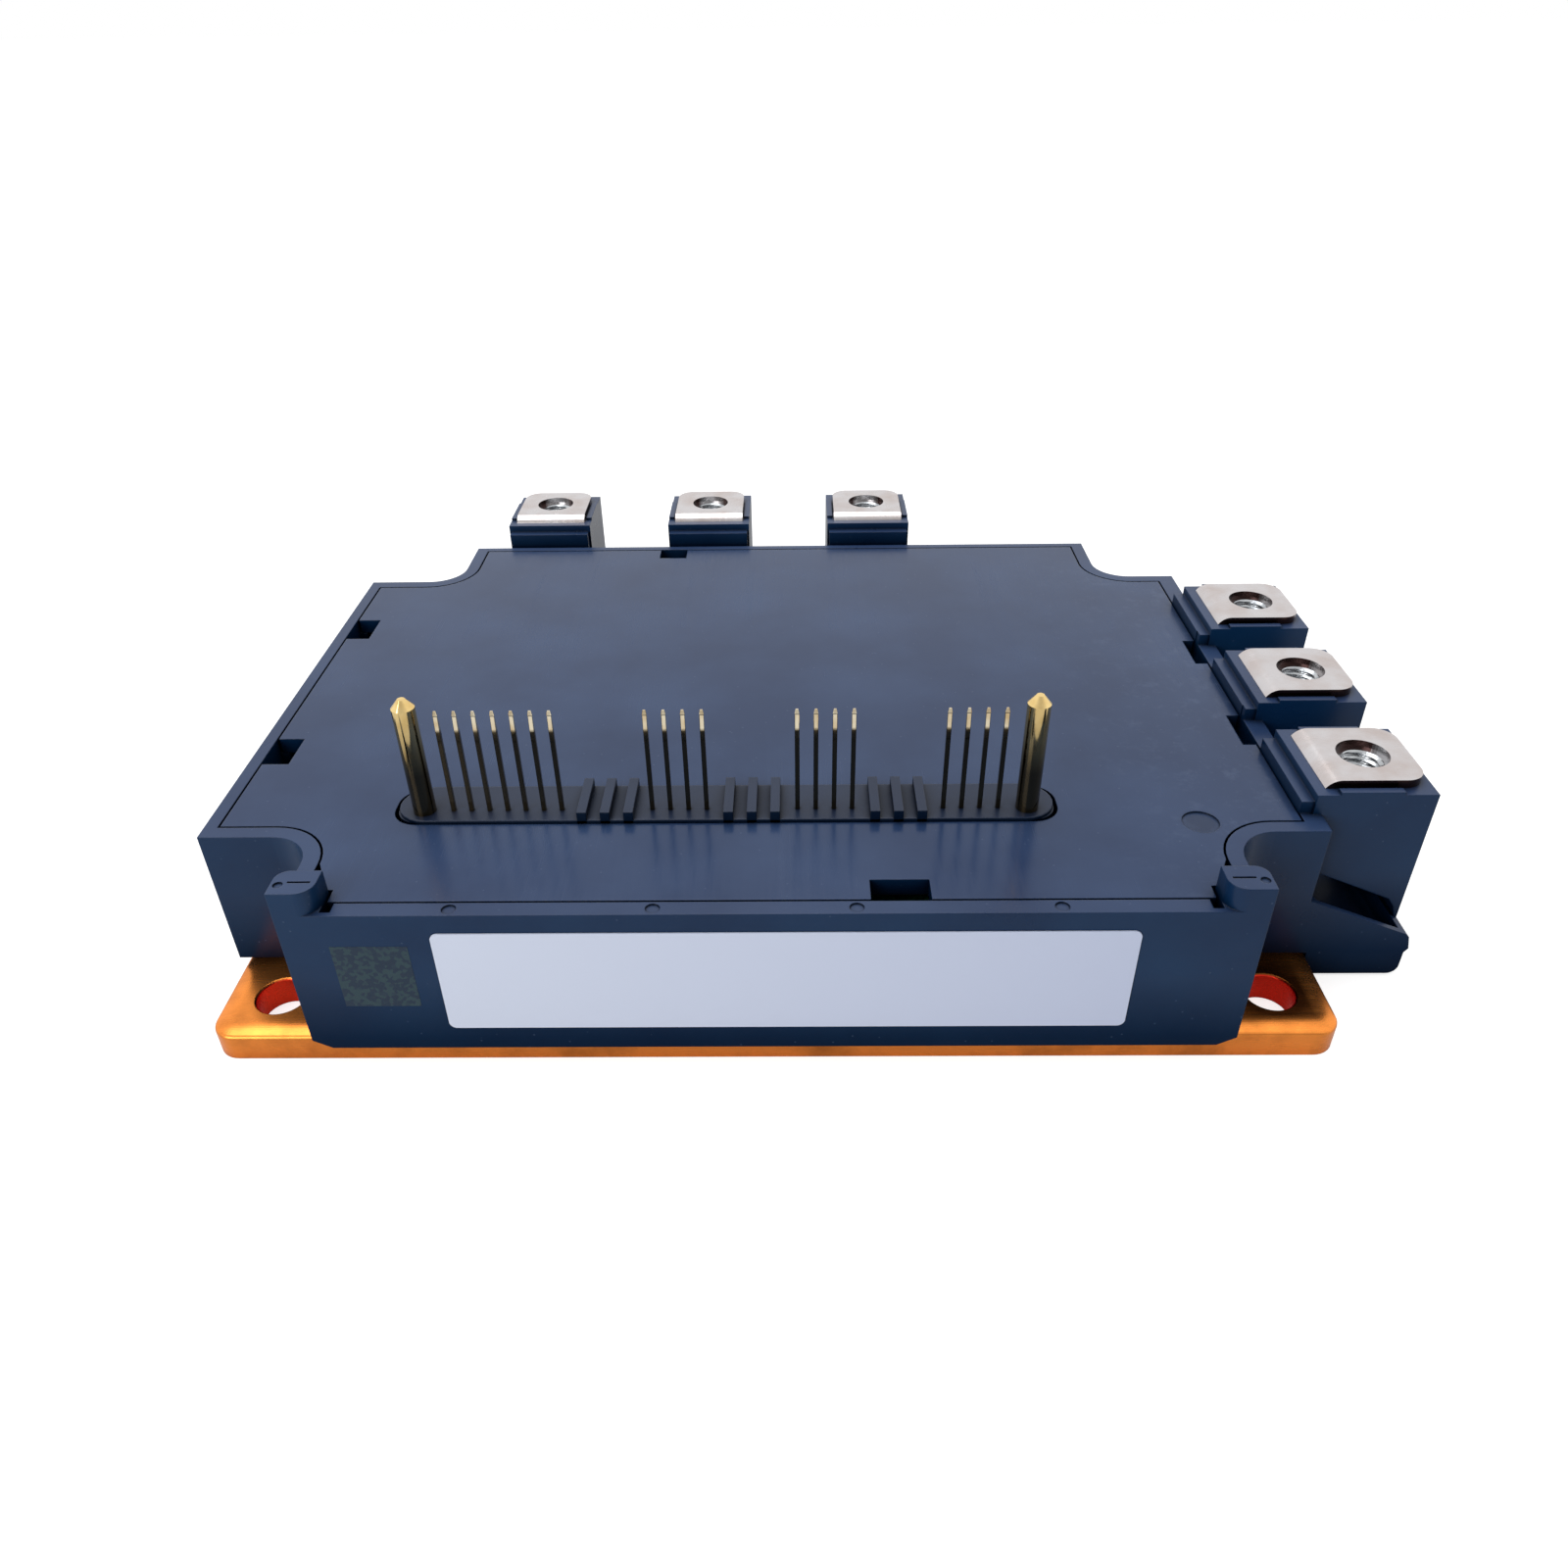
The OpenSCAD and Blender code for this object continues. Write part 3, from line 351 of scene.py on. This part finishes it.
def closed_stack(name, mesh, loops):
    """A piece that is a stack of loops, with a face at either end. The loops run
    anticlockwise as the last one is seen from outside."""
    band(mesh, loops)
    mesh.faces.new(loops[0][::-1])
    mesh.faces.new(loops[-1])
    return piece_from(mesh, name)


def lasered_pbt():
    """Lasered PBT: matt spots, a little greyer than the dark skin left between them."""
    m, place = start_material("lasered_pbt")
    spots = add(m, "TexVoronoi", {"Vector": place, "Scale": 1 / MARK_SPOT})
    shade = add(m, "SeparateColor", {0: spots.outputs["Color"]})
    burnt = add(m, "MapRange", {0: shade, 1: 0.5, 2: 0.6})
    colour = add(m, "Mix", {0: burnt, 6: linear(MARK_SKIN), 7: linear(MARK_BURNT)}, data_type="RGBA")
    return finish_material(m, {
        "Base Color": colour.outputs[2],
        "Roughness": add(m, "MapRange", {0: burnt, 3: 0.34, 4: 0.7}),
        "IOR": 1.45,
        "Normal": add(m, "Bump", {"Height": burnt, "Strength": 0.3, "Distance": 0.02 * MM})})


wall_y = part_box("label")[1][1]
mark_mesh = bmesh.new()
mark_square = [(MARK_X[0], MARK_Z[0]), (MARK_X[1], MARK_Z[0]), (MARK_X[1], MARK_Z[1]),
               (MARK_X[0], MARK_Z[1])]
mark_loops = [[mark_mesh.verts.new((x, y, z)) for x, z in mark_square]
              for y in (wall_y, wall_y - MARK_RISE)]
marking = closed_stack("laser_marking", mark_mesh, mark_loops)
marking.data.materials.append(lasered_pbt())
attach(marking, "root")

# ---- lid ----
# A flat cover of the same PBT, snapped into the case over the control board. Its tool was
# milled from front to back, which leaves fine straight lines in a satin face.

GATE_MARK = (46.5 * MM, -31.1 * MM, 20.6 * MM)

dress(moulded_pbt("moulded_pbt_lid", 0.22, milled=0.05, gate=GATE_MARK, scuffs=0.35), ["lid"])

# ---- pin header ----
# The strip that holds the control pins comes up through a slot in the lid, and stands a little
# proud of it. It is moulded round the pins, with three ribs in each gap that stiffen it.

LEDGE_RISE = 0.4 * MM
LEDGE_SUNK = 0.05 * MM
LEDGE_ROUNDING = 0.12 * MM
# where the middle of the rounding lies, in and down, as a share of it
LEDGE_ROUNDING_MIDDLE = 0.3
LEDGE_END_STEPS = 12


def rounded_strip(name, low, high, rounding):
    """A closed strip with half-round ends and a rounded upper edge."""
    reach, radius = (high[0] - low[0]) / 2, (high[1] - low[1]) / 2
    centre_x, centre_y = (high[0] + low[0]) / 2, (high[1] + low[1]) / 2
    turns = [math.pi * i / LEDGE_END_STEPS for i in range(LEDGE_END_STEPS + 1)]
    ends = [(centre_x + reach - radius, a - math.pi / 2) for a in turns]
    ends += [(centre_x + radius - reach, a + math.pi / 2) for a in turns]
    middle = LEDGE_ROUNDING_MIDDLE * rounding
    rings = [(low[2], 0.0), (high[2] - rounding, 0.0), (high[2] - middle, middle),
             (high[2], rounding)]
    mesh = bmesh.new()
    loops = [level_loop(mesh, [(x + (radius - inset) * math.cos(a),
                                centre_y + (radius - inset) * math.sin(a)) for x, a in ends], z)
             for z, inset in rings]
    return closed_stack(name, mesh, loops)


header_pbt = moulded_pbt("moulded_pbt_header", 0.34, milled=0.04, depth=0.65)
dress(header_pbt, ["pin_header"])
lid_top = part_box("lid")[1][2]
strip_low, strip_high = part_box("pin_header")
ledge = rounded_strip("header_ledge", (strip_low[0], strip_low[1], lid_top - LEDGE_SUNK),
                      (strip_high[0], strip_high[1], lid_top + LEDGE_RISE), LEDGE_ROUNDING)
ledge.data.materials.append(header_pbt)
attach(ledge, "root")

# ---- control pins and guide pins ----
# Square brass wire, cut off and coined flat to a wedge at the tip. The two guide pins are turned
# from brass rod, with a blunt cone. All are gold-plated; below the tip their shafts are painted dark,
# a painted reflection of dark surroundings.

PIN_HALF = 0.25 * MM
PIN_ROUNDING = 0.05 * MM
# at each mark of the coined tip: how far below the end, half its width, half its thickness
PIN_COINING = ((2.2 * MM, PIN_HALF, PIN_HALF), (0.62 * MM, PIN_HALF, 0.11 * MM),
               (0.50 * MM, 0.24 * MM, 0.19 * MM), (0.0, 0.14 * MM, 0.05 * MM))
# how far below its end each pin's painted dark shaft gives way to gold, and where the gold is full
WIRE_SHAFT_SHADE = (2.5 * MM, 2.1 * MM)
ROD_SHAFT_SHADE = (9.0 * MM, 1.5 * MM)
PLATING_CLOUD = 2.0 * MM
GOLD = "#f8da98"
GOLD_DEEP = "#cfa558"
GOLD_PALE = "#fff2d4"
GOLD_SHADED_SHAFT = "#6a5c44"


def gold_plate(name, gold, mark, squash, roughness, tip, plated):
    """Gold plate, a bright yellow metal: the drawing or turning marks under it only just
    ripple what it mirrors, and it is deeper in tone where it is thicker. Lower down the shaft
    it is painted dark brown, a painted reflection of dark surroundings. mark is the marks' size,
    squash their shape, tip the pin's end, and plated where below it the painted dark gives way."""
    m, place = start_material(name)
    lie = add(m, "Mapping", {"Vector": place, "Scale": squash})
    marks = add(m, "TexNoise", {"Vector": lie, "Scale": 1 / mark, "Detail": 2.0})
    thick = add(m, "TexNoise", {"Vector": place, "Scale": 1 / PLATING_CLOUD, "Detail": 3.0})
    tone = add(m, "MapRange", {0: thick, 1: 0.4, 2: 0.75, 3: 0.0, 4: 0.7})
    full = add(m, "Mix", {0: tone, 6: linear(gold), 7: linear(GOLD_DEEP)}, data_type="RGBA")
    height = add(m, "SeparateXYZ", {0: place}).outputs["Z"]
    # painted reflection: the shaft darkens below the tip, as it mirrors dark surroundings
    cover = add(m, "MapRange", {0: height, 1: tip - plated[0], 2: tip - plated[1]})
    colour = add(m, "Mix", {0: cover, 6: linear(GOLD_SHADED_SHAFT), 7: full.outputs[2]}, data_type="RGBA")
    shine = add(m, "MapRange", {0: thick, 1: 0.3, 2: 0.7, 3: roughness, 4: roughness + 0.06})
    return finish_material(m, {
        "Base Color": colour.outputs[2],
        "Metallic": 1.0,
        "Roughness": shine,
        "Normal": add(m, "Bump", {"Height": marks, "Strength": 0.03, "Distance": 0.005 * MM})})


def coined_pin(name, low, high):
    """A square pin with rounded arrises, whose front and back run together below a blunt bead."""
    middle_x, middle_y = (low[0] + high[0]) / 2, (low[1] + high[1]) / 2
    rings = [(low[2], PIN_HALF, PIN_HALF)]
    rings += [(high[2] - below, wide, deep) for below, wide, deep in PIN_COINING]
    mesh = bmesh.new()
    loops = []
    for z, wide, deep in rings:
        r = min(PIN_ROUNDING, deep / 2)
        section = [(wide, r - deep), (wide, deep - r), (wide - r, deep), (r - wide, deep),
                   (-wide, deep - r), (-wide, r - deep), (r - wide, -deep), (wide - r, -deep)]
        loops.append(level_loop(mesh, [(middle_x + x, middle_y + y) for x, y in section], z))
    return closed_stack(name, mesh, loops)


drawn_gold = gold_plate("gold_plated_wire", GOLD_PALE, mark=0.2 * MM, squash=(1.0, 1.0, 0.05),
                        roughness=0.04, tip=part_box("control_pin_01")[1][2], plated=WIRE_SHAFT_SHADE)
for node in sorted(n for n in frame["nodes"] if n.startswith("control_pin_")):
    pin = coined_pin(node.replace("control", "coined"), *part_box(node))
    pin.data.materials.append(drawn_gold)
    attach(pin, "root")
    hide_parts(node)
turned_gold = gold_plate("gold_plated_rod", GOLD, mark=0.15 * MM, squash=(0.3, 0.3, 1.0),
                         roughness=0.06, tip=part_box("guide_pin_left")[1][2], plated=ROD_SHAFT_SHADE)
dress(turned_gold, ["guide_pin_left", "guide_pin_right"])

# ---- main terminals ----
# Copper strip, stamped, nickel-plated and bent over the blocks. The case is moulded round its
# upright leg, so only the pad, the bend and the top of the leg show.

NICKEL = "#d0cccd"
NICKEL_WARM = "#c2b6b2"
SHEARED_EDGE = "#38170f"
STRIP_LINE = 0.35 * MM
STRIP_CLOUD = 4.0 * MM


def nickel_plate(name, sheared):
    """Nickel plate, a warm silver metal: a soft mirror with faint rolling lines. It is thin on
    the sheared edges and in the punched holes, so they are brown. sheared is the direction
    that those edges face."""
    m, place = start_material(name)
    along = add(m, "Mapping", {"Vector": place, "Scale": [0.08 if s == 0 else 1.0 for s in sheared]})
    lines = add(m, "TexNoise", {"Vector": along, "Scale": 1 / STRIP_LINE, "Detail": 3.0})
    clouds = add(m, "TexNoise", {"Vector": place, "Scale": 1 / STRIP_CLOUD, "Detail": 3.0})
    tone = add(m, "MapRange", {0: clouds, 1: 0.4, 2: 0.75})
    silver = add(m, "Mix", {0: tone, 6: linear(NICKEL), 7: linear(NICKEL_WARM)}, data_type="RGBA")
    facing = add(m, "VectorMath", {0: add(m, "NewGeometry").outputs["True Normal"], 1: sheared},
                 operation="DOT_PRODUCT").outputs["Value"]
    squareness = add(m, "Math", {0: facing}, operation="ABSOLUTE")
    edge = add(m, "MapRange", {0: squareness, 1: 0.50, 2: 0.75, 3: 0.0, 4: 0.95})
    colour = add(m, "Mix", {0: edge, 6: silver.outputs[2], 7: linear(SHEARED_EDGE)}, data_type="RGBA")
    return finish_material(m, {
        "Base Color": colour.outputs[2],
        "Metallic": 1.0,
        "Roughness": add(m, "MapRange", {0: lines, 1: 0.3, 2: 0.7, 3: 0.20, 4: 0.28}),
        "Normal": add(m, "Bump", {"Height": lines, "Strength": 0.04, "Distance": 0.01 * MM})})


for row, across in (("right", (0.0, 1.0, 0.0)), ("back", (1.0, 0.0, 0.0))):
    dress(nickel_plate(f"nickel_plate_{row}", across), [f"terminal_{row}_{i}" for i in (1, 2, 3)])

# ---- terminal nuts ----
# Pressed steel M5 nuts, zinc-plated, dropped into pockets under the pads. Their tapped threads
# show through the screw holes.

NUT_FLATS = 8.0 * MM
THREAD_CREST = 2.1 * MM
THREAD_ROOT = 2.5 * MM
THREAD_PITCH = 0.8 * MM
THREAD_SIDES = 48
THREAD_STEPS = 8
# above 1 the thread's groove has a flat root
THREAD_FLANK = 1.15
ZINC = "#c6c9cc"
ZINC_DULL = "#9a9ea3"
ZINC_CLOUD = 1.2 * MM


def bright_zinc():
    """Bright zinc plate, a bluish silver metal: small dull clouds on a soft mirror."""
    m, place = start_material("bright_zinc")
    clouds = add(m, "TexNoise", {"Vector": place, "Scale": 1 / ZINC_CLOUD, "Detail": 4.0})
    tone = add(m, "MapRange", {0: clouds, 1: 0.4, 2: 0.7})
    colour = add(m, "Mix", {0: tone, 6: linear(ZINC), 7: linear(ZINC_DULL)}, data_type="RGBA")
    return finish_material(m, {
        "Base Color": colour.outputs[2],
        "Metallic": 1.0,
        "Roughness": add(m, "MapRange", {0: tone, 3: 0.16, 4: 0.30}),
        "Normal": add(m, "Bump", {"Height": clouds, "Strength": 0.06, "Distance": 0.02 * MM})})


def tapped_nut(mesh, centre, low, high, turn):
    """Adds a hexagon nut to a bmesh, with a corner at turn and a tapped thread down its bore."""
    steps = round((high - low) / THREAD_PITCH * THREAD_STEPS)
    # clockwise, so that the bore's faces look inwards
    turns = [math.tau * i / THREAD_SIDES for i in range(THREAD_SIDES)][::-1]
    loops = []

    def ring(radius_at, z):
        outline = [(centre[0] + radius_at(a) * math.cos(a), centre[1] + radius_at(a) * math.sin(a))
                   for a in turns]
        loops.append(level_loop(mesh, outline, z))

    def hexagon(a):
        return NUT_FLATS / 2 / math.cos((a - turn) % (math.pi / 3) - math.pi / 6)

    for i in range(steps + 1):
        z = low + (high - low) * i / steps

        def bore(a, z=z):
            groove = abs(((z - low) / THREAD_PITCH - a / math.tau) % 1 * 2 - 1)
            return THREAD_CREST + (THREAD_ROOT - THREAD_CREST) * min(1.0, groove * THREAD_FLANK)
        ring(bore, z)
    ring(hexagon, high)
    ring(hexagon, low)
    band(mesh, loops + loops[:1])


right_mount = mounts["terminals_right_outer"]
back_mount = mounts["terminals_back_outer"]
right_x, right_y, _ = right_mount["pos_m"]
back_x, back_y, _ = back_mount["pos_m"]
right_step = right_mount["dims"]["spacing_y_mm"] * MM / 2
back_step = back_mount["dims"]["spacing_x_mm"] * MM / 2
nut_low, nut_high = (point[2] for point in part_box("terminal_nuts"))
nuts_mesh = bmesh.new()
for k in (-1, 0, 1):
    tapped_nut(nuts_mesh, (right_x, right_y + k * right_step), nut_low, nut_high, math.pi / 6)
    tapped_nut(nuts_mesh, (back_x + k * back_step, back_y), nut_low, nut_high, 0.0)
bmesh.ops.recalc_face_normals(nuts_mesh, faces=nuts_mesh.faces)
nuts = piece_from(nuts_mesh, "tapped_nuts")
nuts.data.materials.append(bright_zinc())
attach(nuts, "root")
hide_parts("terminal_nuts")

# ---- label ----
# A coated film, stuck on the front wall. It is left blank.

FILM = "#dde5f8"
FILM_SHADE = "#ccd5ee"
FILM_ENDS = (-34 * MM, 37 * MM)
FILM_PEEL = 1.2 * MM


def coated_film():
    """Coated film: an even satin face, a trace darker towards the right, with the orange peel of the
    glue under it."""
    m, place = start_material("coated_film")
    side = add(m, "SeparateXYZ", {0: place}).outputs["X"]
    towards_right = add(m, "MapRange", {0: side, 1: FILM_ENDS[0], 2: FILM_ENDS[1]})
    colour = add(m, "Mix", {0: towards_right, 6: linear(FILM), 7: linear(FILM_SHADE)}, data_type="RGBA")
    peel = add(m, "TexNoise", {"Vector": place, "Scale": 1 / FILM_PEEL, "Detail": 2.0})
    return finish_material(m, {
        "Base Color": colour.outputs[2],
        "Roughness": add(m, "MapRange", {0: peel, 1: 0.3, 2: 0.7, 3: 0.38, 4: 0.48}),
        "IOR": 1.46,
        "Normal": add(m, "Bump", {"Height": peel, "Strength": 0.05, "Distance": 0.02 * MM})})


dress(coated_film(), ["label"])

# ---- board, chips and wires ----
# These lie inside, under the lid. The board is glass-fibre laminate with solder mask, and the
# switches and diodes are soldered to copper-clad ceramic tiles and bonded with wires.


def inner_finish(name, light, dark, grain, metallic, roughness):
    """An inner piece's finish: laminate, epoxy, fired alumina, foil or drawn metal, in two
    tones with a grain of its own size."""
    m, place = start_material(name)
    tone = add(m, "TexNoise", {"Vector": place, "Scale": 1 / grain, "Detail": 4.0})
    colour = add(m, "Mix", {0: tone, 6: linear(light), 7: linear(dark)}, data_type="RGBA")
    shine = add(m, "MapRange", {0: tone, 1: 0.3, 2: 0.7, 3: roughness - 0.05, 4: roughness + 0.08})
    return finish_material(m, {
        "Base Color": colour.outputs[2],
        "Metallic": metallic,
        "Roughness": shine,
        "Normal": add(m, "Bump", {"Height": tone, "Strength": 0.1, "Distance": 0.02 * MM})})


# the start of the pieces' names; then the finish's name, its two tones, its grain, whether it is
# a metal, and its roughness
for start, finish in {
        "control_board": ("solder_mask", "#1d5a36", "#2b7048", 0.9 * MM, 0.0, 0.35),
        "driver_chip_": ("moulded_epoxy", "#1b1b1e", "#2a2a2d", 0.3 * MM, 0.0, 0.55),
        "ceramic_tile_": ("fired_alumina", "#e6e2da", "#f1eee8", 0.4 * MM, 0.0, 0.5),
        "copper_tracks": ("bonded_copper_foil", "#c9764a", "#b0603a", 0.5 * MM, 1.0, 0.35),
        "igbt_chip_": ("metallised_silicon_switch", "#8b8d94", "#a2a4aa", 0.4 * MM, 1.0, 0.3),
        "diode_chip_": ("metallised_silicon_diode", "#95979c", "#a9abb0", 0.4 * MM, 1.0, 0.3),
        "bond_wires": ("drawn_aluminium", "#d9d9db", "#c6c6c9", 0.3 * MM, 1.0, 0.3),
        "signal_leads": ("plated_brass", "#b99a55", "#a48544", 0.4 * MM, 1.0, 0.3)}.items():
    dress(inner_finish(*finish), [n for n in frame["nodes"] if n.startswith(start)])

# ---- floor and room ----
# A wide white table in a white room. Its cloth is plain and matt, and keeps the shadow.

TABLE_SIDE = 6.0
TABLE_GAP = 0.05 * MM
CLOTH_WEAVE = 0.5 * MM
CLOTH = "#c4c4c4"
CLOTH_PALE = "#c8c8c8"
LIFT_LOOKED_AT = 0.74
LIFT_MIRRORED = 0.10


def white_cloth():
    """Plain white cloth: matt, and lifted to paper white where it is looked at, which the
    mirror-like metals see in part."""
    m, place = start_material("white_cloth")
    weave = add(m, "TexNoise", {"Vector": place, "Scale": 1 / CLOTH_WEAVE, "Detail": 1.0})
    colour = add(m, "Mix", {0: weave, 6: linear(CLOTH), 7: linear(CLOTH_PALE)}, data_type="RGBA")
    ray = add(m, "LightPath")
    looked_at = add(m, "Math", {0: ray.outputs["Is Camera Ray"], 1: LIFT_LOOKED_AT},
                    operation="MULTIPLY")
    mirrored = add(m, "Math", {0: ray.outputs["Is Glossy Ray"], 1: LIFT_MIRRORED},
                   operation="MULTIPLY")
    both = add(m, "Math", {0: looked_at, 1: mirrored}, operation="ADD")
    lift = add(m, "Emission", {"Strength": both})
    cloth = add(m, "BsdfDiffuse", {"Color": colour.outputs[2]})
    add(m, "OutputMaterial", {"Surface": add(m, "AddShader", {0: cloth, 1: lift})})
    return m


half = TABLE_SIDE / 2
table_mesh = bmesh.new()
table_mesh.faces.new([table_mesh.verts.new((x, y, 0.0))
                      for x, y in ((-half, -half), (half, -half), (half, half), (-half, half))])
table = piece_from(table_mesh, "table")
table.location.z = -TABLE_GAP
table.data.materials.append(white_cloth())

NEAR_WALL_ENDS = -0.8
FAR_WALL_STARTS = -0.2
ROOM_LEVEL = 0.5
WHITE = (1.0, 1.0, 1.0, 1.0)


def white_room():
    """The room round the table: white where it is looked at and where shiny faces mirror it,
    but for the wall before the module. That wall and the light from all round are at half
    of white, which keeps the near faces deep."""
    m = bpy.data.worlds.new("white_room")
    m.use_nodes = True
    m.node_tree.nodes.clear()
    ray = add(m, "LightPath")
    toward_y = add(m, "SeparateXYZ", {0: add(m, "TexCoord").outputs["Generated"]}).outputs["Y"]
    far_wall = add(m, "MapRange", {0: toward_y, 1: NEAR_WALL_ENDS, 2: FAR_WALL_STARTS})
    mirrored = add(m, "Math", {0: ray.outputs["Is Glossy Ray"], 1: far_wall}, operation="MULTIPLY")
    seen = add(m, "Math", {0: ray.outputs["Is Camera Ray"], 1: mirrored}, operation="MAXIMUM")
    seen = add(m, "Math", {0: seen, 1: ray.outputs["Is Transmission Ray"]}, operation="MAXIMUM")
    level = add(m, "MapRange", {0: seen, 3: ROOM_LEVEL, 4: 1.0})
    add(m, "OutputWorld", {"Surface": add(m, "Background", {"Strength": level, "Color": WHITE})})
    return m


bpy.context.scene.world = white_room()

# ---- lamps ----
# A wide soft lamp hangs above and a little behind, and a weaker one stands at the front left.
# Each is given by its place, its width and height in metres, and its power in watts.

LAMPS_AIM = Vector((0.0, 0.0, 0.01))


def soft_lamp(name, place, wide, high, watts):
    """A rectangular lamp that faces the module."""
    light = bpy.data.lights.new(name, "AREA")
    light.shape = "RECTANGLE"
    light.size, light.size_y, light.energy = wide, high, watts
    lamp = bpy.data.objects.new(name, light)
    lamp.location = place
    facing = LAMPS_AIM - Vector(place)
    lamp.rotation_euler = facing.to_track_quat("-Z", "Y").to_euler()
    bpy.context.scene.collection.objects.link(lamp)


soft_lamp("lamp_above", (-0.10, 0.15, 0.65), 0.6, 0.5, 2.4)
soft_lamp("lamp_front", (-0.40, -0.50, 0.30), 0.4, 0.4, 1.8)

# ---- camera ----
# Close in front of the label and above it, nearly square on.

CAMERA_PLACE = Vector((2.88, -136.72, 96.66)) * MM
HEADING = math.radians(0.83)
TILT = math.radians(55.30)
ROLL = math.radians(-0.81)

lens = bpy.data.cameras.new("camera")
lens.sensor_width = 36.0
lens.lens = 27.43
lens.shift_y = 0.0125
lens.clip_start = 0.01
camera = bpy.data.objects.new("camera", lens)
camera.matrix_world = (Matrix.Translation(CAMERA_PLACE) @ Matrix.Rotation(HEADING, 4, "Z")
                       @ Matrix.Rotation(TILT, 4, "X") @ Matrix.Rotation(ROLL, 4, "Z"))
bpy.context.scene.collection.objects.link(camera)
bpy.context.scene.camera = camera
bpy.context.scene.view_settings.view_transform = "Standard"
